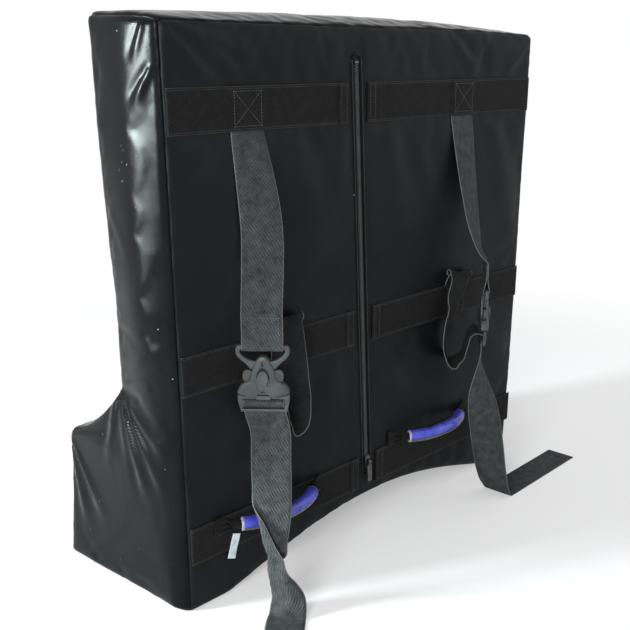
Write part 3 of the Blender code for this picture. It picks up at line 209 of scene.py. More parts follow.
def makeSpeckGroup():
    # small pale specks of dust and scuff near a few worn places, 1 where there is one
    worn = ((-0.35, 0.052, 0.585, 0.030), (-0.35, 0.080, 0.530, 0.022), (-0.35, 0.190, 0.060, 0.026),
            (-0.35, 0.030, 0.330, 0.014))
    settings = {"scale": 300.0, "wornEase": 0.13, "edge": 0.03}
    group, start, finish = newGroup("dustSpecks", "ShaderNodeTree", {"Place": "Vector", "Least": "Float"},
                                    {"Speck": "Float"})
    fine = addNode(group, "ShaderNodeTexNoise", {"Vector": start.outputs["Place"], "Scale": settings["scale"],
                                                 "Detail": 1.0})
    near = None
    for x, y, z, reach in worn:
        gap = addNode(group, "ShaderNodeVectorMath", {0: start.outputs["Place"]}, operation="DISTANCE")
        gap.inputs[1].default_value = (x + padShift[0], y + padShift[1], z)
        here = addNode(group, "ShaderNodeMapRange", {"Value": gap.outputs["Value"], 1: 0.0, 2: reach, 3: 1.0, 4: 0.0})
        near = here if near is None else addNode(group, "ShaderNodeMath", {0: near.outputs[0], 1: here.outputs[0]},
                                                 operation="MAXIMUM")
    eased = addNode(group, "ShaderNodeMath", {0: near.outputs[0], 1: settings["wornEase"]}, operation="MULTIPLY")
    least = addNode(group, "ShaderNodeMath", {0: start.outputs["Least"], 1: eased.outputs[0]}, operation="SUBTRACT")
    most = addNode(group, "ShaderNodeMath", {0: least.outputs[0], 1: settings["edge"]}, operation="ADD")
    mask = addNode(group, "ShaderNodeMapRange", {"Value": fine.outputs["Fac"], 1: least.outputs[0],
                                                 2: most.outputs[0]})
    group.links.new(mask.outputs[0], finish.inputs["Speck"])
    return group


wovenThreads = makeWovenGroup()
dustSpecks = makeSpeckGroup()


def newMaterial(name):
    material = bpy.data.materials.new(name)
    material.use_nodes = True
    tree = material.node_tree
    return material, tree, tree.nodes["Principled BSDF"]


def mixColours(tree, factor, first, second):
    mix = addNode(tree, "ShaderNodeMix", {"Factor": factor}, data_type="RGBA")
    for index, value in ((6, first), (7, second)):
        if isinstance(value, bpy.types.NodeSocket):
            tree.links.new(value, mix.inputs[index])
        else:
            mix.inputs[index].default_value = (*value, 1)
    return mix.outputs[2]


def spread(tree, value, low, high, start=0.0, end=1.0):
    return addNode(tree, "ShaderNodeMapRange", {"Value": value, 1: start, 2: end, 3: low, 4: high}).outputs[0]


def noise(tree, place, scale, detail, roughness=0.5, distortion=0.0):
    return addNode(tree, "ShaderNodeTexNoise", {
        "Vector": place.outputs["Object"], "Scale": scale, "Detail": detail, "Roughness": roughness,
        "Distortion": distortion}).outputs["Fac"]


def woven(tree, places, across, along):
    threads = addNode(tree, "ShaderNodeGroup", {"Place": places}, node_tree=wovenThreads)
    threads.inputs["Pitch Across"].default_value = across
    threads.inputs["Pitch Along"].default_value = along
    return threads.outputs["Height"]


def turnedFlat(tree, place, degrees):
    return addNode(tree, "ShaderNodeMapping", {"Vector": place.outputs["UV"],
                                               "Rotation": (0, 0, math.radians(degrees))}).outputs[0]


def bumped(tree, height, strength, distance, under=None):
    inputs = {"Height": height, "Strength": strength, "Distance": distance}
    if under is not None:
        inputs["Normal"] = under
    return addNode(tree, "ShaderNodeBump", inputs).outputs[0]


def finished(material, tree, shader, look, colour, rough, normal):
    # wires what every surface has in common
    for word, value in (("Base Color", colour), ("Roughness", rough), ("Normal", normal)):
        tree.links.new(value, shader.inputs[word])
    for word, key in (("Specular IOR Level", "specular"), ("Metallic", "metallic"), ("Sheen Weight", "sheen"),
                      ("Sheen Roughness", "sheenRoughness")):
        if key in look:
            shader.inputs[word].default_value = look[key]
    return material


def makeVinyl(name, look):
    # coated cloth: a fine grain or an embossed weave, soft crumples and a little dust
    material, tree, shader = newMaterial(name)
    place = addNode(tree, "ShaderNodeTexCoord")
    weave = woven(tree, turnedFlat(tree, place, 45), look["weavePitch"], look["weavePitch"])
    grain = noise(tree, place, look["grainScale"], 4.0, 0.6)
    crumple = noise(tree, place, look["crumpleScale"], 5.0, 0.55, 1.2)
    soft = bumped(tree, crumple, look["crumple"], 0.006)
    normal = bumped(tree, grain, look["grain"], 0.0005, bumped(tree, weave, look["weave"], 0.0004, soft))
    shade = mixColours(tree, spread(tree, crumple, 0, 1, 0.35, 0.7), look["colour"], look["worn"])
    specks = addNode(tree, "ShaderNodeGroup", {"Place": place.outputs["Object"]}, node_tree=dustSpecks)
    specks.inputs["Least"].default_value = look["speckLeast"]
    dusty = mixColours(tree, specks.outputs["Speck"], shade, look["dust"])
    rough = spread(tree, grain, look["roughness"][0], look["roughness"][1], 0.3, 0.7)
    return finished(material, tree, shader, look, dusty, rough, normal)


def makeWebbing(name, look):
    # woven nylon tape: crossing ribs over its own width and length, painted shade in the low places between the
    # threads, and selvedges painted paler as a painted highlight along the rounded edges
    material, tree, shader = newMaterial(name)
    place = addNode(tree, "ShaderNodeTexCoord")
    ribs = woven(tree, place.outputs["UV"], *look["pitch"])
    twill = woven(tree, turnedFlat(tree, place, 32), look["twillPitch"], look["twillPitch"] * 9)
    both = addNode(tree, "ShaderNodeMath", {0: ribs, 1: twill}, operation="ADD").outputs[0]
    wear = noise(tree, place, 90.0, 6.0, 0.7)
    parts = addNode(tree, "ShaderNodeSeparateXYZ", {0: place.outputs["UV"]})
    half = look["width"] / 2
    centred = addNode(tree, "ShaderNodeMath", {0: parts.outputs[0], 1: half}, operation="SUBTRACT")
    aside = addNode(tree, "ShaderNodeMath", {0: centred.outputs[0]}, operation="ABSOLUTE")
    # painted highlight: the selvedges are mixed paler along both rounded edges
    edge = spread(tree, aside.outputs[0], 0, 1, half - look["selvedgeFrom"], half - look["selvedgeFull"])
    shade = mixColours(tree, spread(tree, wear, 0, 1, 0.3, 0.75), look["colour"], look["worn"])
    # painted shade: darker where the weave lies low between the threads
    threads = mixColours(tree, spread(tree, both, 0, 0.65, 0.3, 1.7), shade, look["gap"])
    withEdgeHighlight = mixColours(tree, edge, threads, look["selvedgeHighlight"])
    rough = spread(tree, both, look["roughness"][0], look["roughness"][1], 0.2, 1.8)
    return finished(material, tree, shader, look, withEdgeHighlight, rough, bumped(tree, both, look["relief"], 0.0006))


def makeMoulded(name, look):
    # plastic or metal with a light grain, uneven gloss and paler rubbed places
    material, tree, shader = newMaterial(name)
    place = addNode(tree, "ShaderNodeTexCoord")
    grain = noise(tree, place, look["grainScale"], 3.0)
    cloud = noise(tree, place, look["cloudScale"], 4.0, 0.6)
    shade = mixColours(tree, spread(tree, cloud, 0, 1, 0.35, 0.72), look["colour"], look["worn"])
    rough = spread(tree, cloud, look["roughness"][0], look["roughness"][1], 0.3, 0.7)
    return finished(material, tree, shader, look, shade, rough, bumped(tree, grain, look["grain"], 0.0003))


# each webbing below has a paler colour painted along its rounded selvedges as a painted highlight, and a darker
# colour painted between its threads as painted shade
selvedgeHighlight = {"selvedgeFrom": 1.3 * mm, "selvedgeFull": 0.1 * mm, "sheenRoughness": 0.45}
matteVinyl = makeVinyl("matteVinyl", {
    "colour": (0.0036, 0.0047, 0.0058), "worn": (0.0062, 0.0078, 0.0092), "dust": (0.03, 0.03, 0.03),
    "roughness": (0.44, 0.56), "specular": 0.10, "weavePitch": 1.5 * mm, "weave": 0.12, "grainScale": 900.0,
    "grain": 0.25, "crumpleScale": 6.0, "crumple": 0.22, "speckLeast": 0.95,
})
glossyVinyl = makeVinyl("glossyVinyl", {
    "colour": (0.0024, 0.0028, 0.0032), "worn": (0.0038, 0.0044, 0.0050), "dust": (0.28, 0.30, 0.31),
    "roughness": (0.15, 0.22), "specular": 0.070, "weavePitch": 2.6 * mm, "weave": 0.14, "grainScale": 700.0,
    "grain": 0.05, "crumpleScale": 9.0, "crumple": 0.10, "speckLeast": 0.80,
})
strapWebbing = makeWebbing("strapWebbing", {
    "colour": (0.030, 0.033, 0.035), "worn": (0.100, 0.107, 0.112), "gap": (0.004, 0.0043, 0.0046),
    "selvedgeHighlight": (0.12, 0.123, 0.126), "pitch": (2.6 * mm, 2.0 * mm), "twillPitch": 3.4 * mm, "relief": 0.9,
    "width": 50 * mm, "roughness": (0.85, 0.6), "specular": 0.06, "sheen": 0.02, **selvedgeHighlight,
})
# a darker copy of the strap webbing for the same web's slack loop, painted shade where the loop hangs beside the
# buckle
slackWebbingPaintedShade = makeWebbing("slackWebbingPaintedShade", {
    "colour": (0.013, 0.0137, 0.0144), "worn": (0.030, 0.0315, 0.033), "gap": (0.0025, 0.0025, 0.0025),
    "selvedgeHighlight": (0.12, 0.123, 0.126), "pitch": (2.6 * mm, 2.0 * mm), "twillPitch": 3.4 * mm, "relief": 0.9,
    "width": 50 * mm, "roughness": (0.85, 0.65), "specular": 0.06, "sheen": 0.02, **selvedgeHighlight,
})
bandWebbing = makeWebbing("bandWebbing", {
    "colour": (0.0078, 0.0076, 0.0076), "worn": (0.0185, 0.018, 0.018), "gap": (0.0012, 0.0012, 0.0012),
    "selvedgeHighlight": (0.030, 0.030, 0.030), "pitch": (2.4 * mm, 2.6 * mm), "twillPitch": 3.6 * mm, "relief": 0.9,
    "width": 50 * mm, "roughness": (0.85, 0.65), "specular": 0.08, "sheen": 0.02, **selvedgeHighlight,
})
zipWoven = makeWebbing("zipWoven", {
    "colour": (0.012, 0.012, 0.013), "worn": (0.02, 0.02, 0.021), "gap": (0.005, 0.005, 0.005),
    "selvedgeHighlight": (0.03, 0.03, 0.03), "pitch": (1.2 * mm, 1.2 * mm), "twillPitch": 1.6 * mm, "relief": 0.4,
    "width": 26 * mm, "roughness": (0.85, 0.7), "specular": 0.3, "sheen": 0.05, **selvedgeHighlight,
})
bucklePlastic = makeMoulded("bucklePlastic", {
    "colour": (0.034, 0.039, 0.042), "worn": (0.060, 0.066, 0.070), "roughness": (0.34, 0.48), "specular": 0.3,
    "metallic": 0.0, "grainScale": 1500.0, "grain": 0.12, "cloudScale": 60.0,
})
zipMetal = makeMoulded("zipMetal", {
    "colour": (0.07, 0.07, 0.074), "worn": (0.16, 0.16, 0.165), "roughness": (0.28, 0.42), "specular": 0.5,
    "metallic": 1.0, "grainScale": 900.0, "grain": 0.06, "cloudScale": 120.0,
})
zipPlastic = makeMoulded("zipPlastic", {
    "colour": (0.018, 0.018, 0.019), "worn": (0.05, 0.05, 0.052), "roughness": (0.3, 0.45), "specular": 0.5,
    "metallic": 0.0, "grainScale": 800.0, "grain": 0.05, "cloudScale": 90.0,
})
sewingThread = makeMoulded("sewingThread", {
    "colour": (0.045, 0.047, 0.05), "worn": (0.12, 0.125, 0.13), "roughness": (0.5, 0.7), "specular": 0.3,
    "metallic": 0.0, "grainScale": 2500.0, "grain": 0.4, "cloudScale": 40.0,
})
darkThread = makeMoulded("darkThread", {
    "colour": (0.035, 0.036, 0.037), "worn": (0.085, 0.087, 0.09), "roughness": (0.5, 0.7), "specular": 0.4,
    "metallic": 0.0, "grainScale": 2500.0, "grain": 0.4, "cloudScale": 25.0,
})


def makeGripPlastic():
    # violet-blue sleeve: its underside is painted dull grey as painted shade, and its cut rims are painted pale as a
    # painted highlight
    look = {"top": (0.030, 0.036, 0.36), "bright": (0.07, 0.095, 0.60), "under": (0.045, 0.043, 0.055),
            "rimHighlight": (0.46, 0.46, 0.50)}
    material, tree, shader = newMaterial("gripPlastic")
    place = addNode(tree, "ShaderNodeTexCoord")
    parts = addNode(tree, "ShaderNodeSeparateXYZ", {0: place.outputs["UV"]})
    cloud = noise(tree, place, 55.0, 4.0)
    blue = mixColours(tree, spread(tree, cloud, 0, 1, 0.35, 0.7), look["top"], look["bright"])
    # painted shade: the lower half of the tube is mixed to dull grey
    body = mixColours(tree, spread(tree, parts.outputs[0], 0, 1, 0.50, 0.60), blue, look["under"])
    # painted highlight: the cut rims are mixed pale
    withRimHighlight = mixColours(tree, parts.outputs[1], body, look["rimHighlight"])
    rough = spread(tree, cloud, 0.22, 0.34)
    return finished(material, tree, shader, look, withRimHighlight, rough, bumped(tree, cloud, 0.15, 0.001))


def makeTagFabric():
    look = {"colour": (0.62, 0.70, 0.74), "shade": (0.36, 0.44, 0.50)}
    material, tree, shader = newMaterial("tagFabric")
    place = addNode(tree, "ShaderNodeTexCoord")
    weave = woven(tree, place.outputs["UV"], 0.7 * mm, 0.7 * mm)
    soil = noise(tree, place, 120.0, 4.0)
    base = mixColours(tree, spread(tree, soil, 0, 1, 0.45, 0.75), look["colour"], look["shade"])
    return finished(material, tree, shader, look, base, spread(tree, soil, 0.55, 0.75),
                    bumped(tree, weave, 0.4, 0.0002))


gripPlastic = makeGripPlastic()
tagFabric = makeTagFabric()

print("cover")

pad = {
    "width": 700 * mm, "height": 720 * mm, "slabDepth": 120 * mm, "footDepth": 250 * mm, "notchHeight": 280 * mm,
    "footFrontHeight": 187 * mm, "edgeRadius": 10 * mm, "archRise": 52 * mm, "archHalf": 290 * mm,
    "frontCrown": 8 * mm, "footCrown": 7 * mm, "sideCrown": 4 * mm, "swellDepth": 190 * mm, "swellHeight": 120 * mm,
    "topCrown": 5 * mm, "sideDrawIn": 1 * mm, "topSag": 2 * mm, "vinyl": 1.2 * mm, "gap": 0.3 * mm,
    "sideBulge": 9 * mm, "bulgeDepth": (24 * mm, 38 * mm, 42 * mm, 60 * mm), "depthHeights": (0, 0.16, 0.35, 0.60),
    "bulgeHold": (1.6, 0.85, 0.30, -0.30, -0.20, 0.4, 0.8, 0.75),
    "holdHeights": (0, 0.12, 0.20, 0.28, 0.36, 0.46, 0.60, 0.72),
    "frontPush": 5 * mm, "rampFill": 8 * mm, "rightBulge": 11 * mm, "topLift": 5 * mm, "rightSag": 9 * mm,
    "zipLow": 100 * mm, "zipLength": 572 * mm, "zipLowX": -19 * mm, "zipTopX": -47 * mm, "zipHalf": 6.5 * mm,
    "seamEase": 9 * mm, "seamTuck": 1.3 * mm, "tuckReach": 2.0 * mm, "zipFlat": 13 * mm, "zipFlatBelow": 14 * mm,
    "zipFlatTop": 690 * mm, "sideDepth": 170 * mm, "rampLength": 165 * mm,
}
bandHeights = {"top": 623 * mm, "middle": 320 * mm, "bottom": 93 * mm}
# the back's grid keeps these shares of its own width for the zip's slit, wherever the zip leans
slitLow, slitHigh, slitWide = 0.45, 0.55, 0.1
# where a web leaves its band: its middle, the band's edge, the way down or up, and the room it leaves per length
strapRooms = (
    (-233 * mm, 598 * mm, 1, 0.09), (181 * mm, 598 * mm, 1, 0.09), (-182 * mm, 345 * mm, -1, 0.25),
    (181 * mm, 345 * mm, -1, 0.25),
)


def rampPoint(share):
    # the ramp's hollow curve in depth and height, from its front edge up to the slab
    top = np.array((pad["footDepth"], pad["footFrontHeight"]))
    notch = np.array((pad["slabDepth"], pad["notchHeight"]))
    control = notch + (top - notch) * np.array((0.20, 0.70))
    share = np.asarray(share)[..., None]
    return (1 - share) ** 2 * top + 2 * share * (1 - share) * control + share**2 * notch


rampShares = np.linspace(0, 1, 25)
rampLine = rampPoint(rampShares)
profile = np.vstack(((pad["footDepth"], 0), rampLine, (pad["slabDepth"], pad["height"]), (0, pad["height"]), (0, 0)))


def nearestOn(loop, places):
    # the nearest point of a closed outline to each place
    along = np.roll(loop, -1, axis=0) - loop
    offset = places[:, None, :] - loop[None]
    share = np.clip((offset * along).sum(axis=2) / (along**2).sum(axis=1), 0, 1)
    near = loop[None] + share[..., None] * along[None]
    distance = np.linalg.norm(near - places[:, None, :], axis=2)
    best = np.argmin(distance, axis=1)
    return near[np.arange(len(places)), best]


def drawnIn(loop, inset):
    # an outline moved inwards, without the points that the move would fold over
    before = loop - np.roll(loop, 1, axis=0)
    after = np.roll(loop, -1, axis=0) - loop
    before /= np.linalg.norm(before, axis=1)[:, None]
    after /= np.linalg.norm(after, axis=1)[:, None]
    first = np.stack((-before[:, 1], before[:, 0]), axis=1)
    second = np.stack((-after[:, 1], after[:, 0]), axis=1)
    reach = 1 + (first * second).sum(axis=1)
    moved = loop + inset * (first + second) / reach[:, None]
    depth = np.linalg.norm(nearestOn(loop, moved) - moved, axis=1)
    return moved[depth > inset - 0.3 * mm]


coreProfile = drawnIn(profile, pad["edgeRadius"])


def insideOf(loop, places):
    # true for each place inside a closed outline
    inside = np.zeros(len(places), bool)
    for (y0, z0), (y1, z1) in zip(loop, np.roll(loop, -1, axis=0)):
        if z0 == z1:
            continue
        crosses = (z0 > places[:, 1]) != (z1 > places[:, 1])
        inside ^= crosses & (places[:, 0] < (y1 - y0) * (places[:, 1] - z0) / (z1 - z0) + y0)
    return inside


def profileDepth(z):
    # the body's depth from back to front at a height
    heights = np.concatenate(([0], rampLine[:, 1], [pad["height"]]))
    depths = np.concatenate(([pad["footDepth"]], rampLine[:, 0], [pad["slabDepth"]]))
    return np.interp(z, heights, depths)


def onBody(points):
    # rounds the sharp-edged body, then swells its faces and lifts the arch
    shape = points.shape
    points = points.reshape(-1, 3).copy()
    half = pad["width"] / 2 - pad["edgeRadius"]
    flat = points[:, 1:]
    near = np.where(insideOf(coreProfile, flat)[:, None], flat, nearestOn(coreProfile, flat))
    near = np.column_stack((np.clip(points[:, 0], -half, half), near))
    away = points - near
    distance = np.linalg.norm(away, axis=1)
    scale = np.minimum(1, pad["edgeRadius"] / np.maximum(distance, 1e-9))
    x, y, z = (near + away * scale[:, None]).T
    low = z.copy()
    across = np.cos(math.pi * np.minimum(np.abs(x) / pad["width"], 0.5))
    side = 2 * x / pad["width"]
    rise = np.clip(z / pad["height"], 0, 1)
    through = np.clip(y / profileDepth(z), 0, 1)
    upper = pad["frontCrown"] * np.sin(math.pi * (z - pad["notchHeight"]) / (pad["height"] - pad["notchHeight"]))
    lower = pad["footCrown"] * np.sin(math.pi * np.clip(z / pad["notchHeight"], 0, 1))
    belly = np.maximum(np.where(z > pad["notchHeight"], upper, lower), 0)
    heights = (pad["footFrontHeight"], pad["notchHeight"], pad["notchHeight"] + pad["swellHeight"])
    wave = np.interp(z, heights, (pad["footDepth"], pad["swellDepth"], pad["slabDepth"]))
    swell = np.sin(math.pi * np.clip(y / wave, 0, 1))
    y = y + belly * across * through
    x = x + side * np.sin(math.pi * rise) * (pad["sideCrown"] * swell - pad["sideDrawIn"] * (1 - swell))
    z = z + across * (pad["topCrown"] * swell - pad["topSag"] * (1 - swell)) * rise**8
    reach = np.minimum(np.abs(points[:, 0]) / pad["archHalf"], 1)
    fade = np.maximum(1 - low / (pad["height"] / 3), 0) ** 2
    z = z + pad["archRise"] * (1 - reach**2) ** 1.25 * fade
    # the foam pushes the cover out at the sides and the ramp, most a hand's width behind the back seams
    depth = profileDepth(low)
    reach = np.interp(low, pad["depthHeights"], pad["bulgeDepth"])
    swing = np.sin(math.pi / 2 * np.clip(y / reach, 0, 1))
    fall = np.clip((y - reach) / np.maximum(depth - reach, 1e-6), 0, 1)
    hold = np.interp(low, pad["holdHeights"], pad["bulgeHold"])
    edge = np.clip((np.abs(side) - 0.9) / 0.1, 0, 1)
    most = pad["sideBulge"] * np.where(side < 0, np.interp(low, (0, 0.1, 0.2), (1.4, 1.1, 1.0)), 0.3)
    x = x + np.sign(side) * edge * most * swing * (1 + (hold - 1) * fall**2 * (3 - 2 * fall))
    x = x + np.clip(side, 0, 1) ** 8 * pad["rightBulge"] * np.interp(low, (0.02, 0.20, 0.72), (0, 0.8, 1))
    y = y + np.abs(side) ** 4 * through**2 * pad["frontPush"]
    ramp = np.clip((low - pad["footFrontHeight"]) / (pad["notchHeight"] - pad["footFrontHeight"]), 0, 1)
    fill = pad["rampFill"] * np.sin(math.pi * ramp) * np.clip((through - 0.8) / 0.2, 0, 1)
    y, z = y + fill * 0.6, z + fill * 0.8
    crest = np.clip((low - 0.6) / 0.12, 0, 1) ** 2
    z = z + crest * (pad["topLift"] * (0.5 - side / 2) * swing - pad["rightSag"] * np.clip(side, 0, 1) ** 3)
    return np.column_stack((x, y, z)).reshape(shape)


def zipX(z):
    # the zip leans, so its middle depends on the height
    share = (z - pad["zipLow"]) / pad["zipLength"]
    return pad["zipLowX"] + (pad["zipTopX"] - pad["zipLowX"]) * share


def slitSides(z):
    # the slit's left and right edge as shares of the back's width
    half = pad["width"] / 2
    return [(zipX(z) + side * pad["zipHalf"] + half) / pad["width"] for side in (-1, 1)]


def graded(length, step):
    # places along a panel, closer together beside its two seams
    edge = np.array((0, 1.1, 2.4, 4.2, 7.0, 10.5)) * mm
    count = max(int(round((length - 2 * edge[-1]) / step)), 2)
    inner = np.linspace(edge[-1], length - edge[-1], count + 1)
    return np.concatenate((edge[:-1], inner, length - edge[-2::-1]))


def panelGrid(kind, u, v):
    # points of the sharp-edged body for shares u across and v up a panel
    u, v = np.meshgrid(u, v, indexing="ij")
    half = pad["width"] / 2
    x = (2 * u - 1) * half
    if kind == "back":
        z = v * pad["height"]
        left, right = slitSides(z)
        x = np.where(u < slitLow, left * u / slitLow, np.where(
            u > slitHigh, 1 - (1 - right) * (1 - u) / slitLow, left + (right - left) * (u - slitLow) / slitWide))
        return np.stack((-half + x * pad["width"], np.zeros_like(x), z), axis=-1)
    if kind == "front":
        z = pad["notchHeight"] + v * (pad["height"] - pad["notchHeight"])
        return np.stack((-x, np.full_like(x, pad["slabDepth"]), z), axis=-1)
    if kind == "footFront":
        return np.stack((-x, np.full_like(x, pad["footDepth"]), v * pad["footFrontHeight"]), axis=-1)
    if kind == "footTop":
        line = rampPoint(v)
        return np.stack((-x, line[..., 0], line[..., 1]), axis=-1)
    if kind == "top":
        return np.stack((x, v * pad["slabDepth"], np.full_like(x, pad["height"])), axis=-1)
    if kind == "bottom":
        return np.stack((-x, v * pad["footDepth"], np.zeros_like(x)), axis=-1)
    z = v * pad["height"]
    depth = profileDepth(z)
    y = u * depth if kind == "right" else (1 - u) * depth
    side = half if kind == "right" else -half
    return np.stack((np.full_like(x, side), y, z), axis=-1)


# each panel's flat size, its grid's step, its cloth and the nodes that it stands for
panels = {
    "back": {"size": (pad["width"], pad["height"]), "step": 5.2 * mm, "vinyl": matteVinyl,
             "nodes": ("back_panel", "foam_slab")},
    "left": {"size": (pad["sideDepth"], pad["height"]), "step": 3.6 * mm, "vinyl": glossyVinyl,
             "nodes": ("left_side_panel",)},
    "right": {"size": (pad["sideDepth"], pad["height"]), "step": 3.6 * mm, "vinyl": glossyVinyl,
              "nodes": ("right_side_panel",)},
    "top": {"size": (pad["width"], pad["slabDepth"]), "step": 4.0 * mm, "vinyl": glossyVinyl,
            "nodes": ("top_panel",)},
    "front": {"size": (pad["width"], pad["height"] - pad["notchHeight"]), "step": 5.2 * mm, "vinyl": glossyVinyl,
              "nodes": ("front_panel",)},
    "footTop": {"size": (pad["width"], pad["rampLength"]), "step": 4.4 * mm, "vinyl": glossyVinyl,
                "nodes": ("foot_top_panel",)},
    "footFront": {"size": (pad["width"], pad["footFrontHeight"]), "step": 4.8 * mm, "vinyl": glossyVinyl,
                  "nodes": ("foot_front_panel", "foam_foot")},
    "bottom": {"size": (pad["width"], pad["footDepth"]), "step": 6.0 * mm, "vinyl": glossyVinyl,
               "nodes": ("bottom_panel",)},
}

cloth = {
    "cell": 9.0 * mm, "frames": 16, "quality": 4, "mass": 0.4, "pressure": 0.9, "growth": 0.004, "tension": 12.0,
    "shear": 5, "bending": 0.8, "zipHeld": 16 * mm, "bandHeld": 27 * mm,
    "cap": {"left": 0.6 * mm, "right": 0.9 * mm, "back": 2.2 * mm}, "otherCap": 2.0 * mm,
}


def wander(places, seed):
    # an uneven wave between -1 and 1, the same on every run
    total = 0
    for order, rate in enumerate((1.0, 1.73, 2.91, 4.37)):
        total = total + np.sin(places * rate + seed * (1.3 + 2.1 * order)) / (1 + 0.6 * order)
    return total / 2.3


def fromSeam(kind, u, v):
    # how far each place of a panel lies from its nearest seam
    size = panels[kind]["size"]
    return np.minimum(np.minimum(u, 1 - u)[:, None] * size[0], np.minimum(v, 1 - v)[None, :] * size[1])


def gridNormals(grid):
    normal = np.cross(np.gradient(grid, axis=0), np.gradient(grid, axis=1))
    return normal / np.linalg.norm(normal, axis=2)[..., None]


def gridFaces(grid):
    rows, columns = grid.shape[:2]
    index = np.arange(rows * columns).reshape(rows, columns)
    return np.stack((index[:-1, :-1], index[1:, :-1], index[1:, 1:], index[:-1, 1:]), axis=-1)


def sewnPlaces(kind, u, v, grid):
    # true where a panel is held, by a seam, the zip or a band sewn across it
    held = fromSeam(kind, u, v) < 1e-6
    if kind == "back":
        x, z = grid[..., 0], grid[..., 2]
        held |= (np.abs(x - zipX(z)) < cloth["zipHeld"]) & (z > pad["zipLow"] - cloth["zipHeld"])
        for height in bandHeights.values():
            held |= np.abs(z - height) < cloth["bandHeld"]
    return held


def settleCloth():
    # each panel is cut a little large, blown out softly and held where it is sewn
    draped = {}
    for kind, panel in panels.items():
        if kind == "bottom":
            continue
        counts = [max(int(round(length / cloth["cell"])), 8) for length in panel["size"]]
        u, v = (np.linspace(0, 1, count + 1) for count in counts)
        sharp = panelGrid(kind, u, v)
        grid = onBody(sharp)
        held = sewnPlaces(kind, u, v, sharp)
        wave = wander(grid[..., 0] * 31 + grid[..., 1] * 47, 1) * wander(grid[..., 2] * 37 + grid[..., 0] * 11, 2)
        normal = gridNormals(grid)
        start = grid + normal * (wave * 0.6 * mm * ~held)[..., None]
        mesh = bpy.data.meshes.new(kind + "Cloth")
        mesh.from_pydata(start.reshape(-1, 3).tolist(), [], gridFaces(grid).reshape(-1, 4).tolist())
        item = bpy.data.objects.new(kind + "Cloth", mesh)
        scene.collection.objects.link(item)
        seam = item.vertex_groups.new(name="seam")
        seam.add(np.flatnonzero(held.ravel()).tolist(), 1.0, "ADD")
        modifier = item.modifiers.new("cloth", "CLOTH")
        settings = modifier.settings
        settings.quality = cloth["quality"]
        settings.mass = cloth["mass"]
        settings.tension_stiffness = cloth["tension"]
        settings.compression_stiffness = cloth["tension"]
        settings.shear_stiffness = cloth["shear"]
        settings.bending_stiffness = cloth["bending"]
        settings.vertex_group_mass = "seam"
        settings.use_pressure = True
        settings.uniform_pressure_force = cloth["pressure"]
        settings.shrink_min = -cloth["growth"]
        settings.effector_weights.gravity = 0
        modifier.collision_settings.use_collision = False
        modifier.point_cache.frame_start = 1
        modifier.point_cache.frame_end = cloth["frames"]
        draped[kind] = (item, grid, normal)
    for step in range(1, cloth["frames"] + 1):
        scene.frame_set(step)
    moved = {}
    for kind, (item, grid, normal) in draped.items():
        evaluated = item.evaluated_get(bpy.context.evaluated_depsgraph_get())
        places = np.zeros(len(evaluated.data.vertices) * 3)
        evaluated.data.vertices.foreach_get("co", places)
        out = ((places.reshape(grid.shape) - grid) * normal).sum(axis=2)
        cap = cloth["cap"].get(kind, cloth["otherCap"])
        moved[kind] = cap * np.tanh(out / cap)
        print(kind, "moved out", round(float(out.min() / mm), 2), round(float(out.max() / mm), 2))
    for item, grid, normal in draped.values():
        bpy.data.objects.remove(item)
    scene.frame_set(1)
    return moved


def resampled(values, u, v):
    # reads a coarse grid of values smoothly at shares u and v
    for axis, places in ((0, u), (1, v)):
        values = np.moveaxis(values, axis, 0)
        count = len(values) - 1
        spot = np.clip(places * count, 0, count - 1e-9)
        low = spot.astype(int)
        share = (spot - low).reshape(-1, *([1] * (values.ndim - 1)))
        rows = [values[np.clip(low + step, 0, count)] for step in (-1, 0, 1, 2)]
        bend = 2 * rows[0] - 5 * rows[1] + 4 * rows[2] - rows[3]
        values = rows[1] + 0.5 * share * (rows[2] - rows[0] + share * (
            bend + share * (3 * (rows[1] - rows[2]) + rows[3] - rows[0])))
        values = np.moveaxis(values, 0, axis)
    return values


def fold(a, b, start, end, widths, height):
    # a ridge with a valley beside it, from start to end over the flat places a and b
    start, end = np.array(start), np.array(end)
    along = end - start
    length = np.linalg.norm(along)
    along = along / length
    t = ((a - start[0]) * along[0] + (b - start[1]) * along[1]) / length
    d = -(a - start[0]) * along[1] + (b - start[1]) * along[0]
    width = widths[0] + (widths[1] - widths[0]) * np.clip(t, 0, 1)
    envelope = np.clip(t / 0.12 + 0.4, 0, 1) * np.clip((1.15 - t) / 0.6, 0, 1) * (t > -0.06)
    envelope = envelope * envelope * (3 - 2 * envelope)
    ridge = np.exp(-((d / width) ** 2)) - 0.7 * np.exp(-(((d - 1.5 * width) / width) ** 2))
    return height * envelope * ridge


# creases: start and end in metres over the panel's flat places, then two widths and a height in millimetres
sideFolds = (
    ((0.118, 0.276), (0.100, 0.185), (2.6, 9), 3.2), ((0.112, 0.272), (0.066, 0.150), (2.6, 10), 3.6),
    ((0.105, 0.270), (0.030, 0.165), (3, 10), 3.0), ((0.128, 0.262), (0.150, 0.170), (3, 10), 2.0),
    ((0.246, 0.178), (0.165, 0.085), (3, 12), 3.0), ((0.248, 0.172), (0.205, 0.060), (3, 10), 2.4),
    ((0.098, 0.300), (0.030, 0.345), (3, 9), 1.2), ((0.012, 0.668), (0.040, 0.628), (3, 6), 2.0),
    ((0.020, 0.712), (0.036, 0.672), (3, 6), 1.4), ((0.110, 0.520), (0.060, 0.450), (5, 12), 0.5),
    ((0.010, 0.250), (0.050, 0.210), (5, 10), 0.8), ((0.200, 0.020), (0.120, 0.080), (5, 12), 1.0),
    ((0.090, 0.262), (0.020, 0.215), (3, 8), 1.6), ((0.116, 0.268), (0.120, 0.200), (2, 7), 1.8),
)
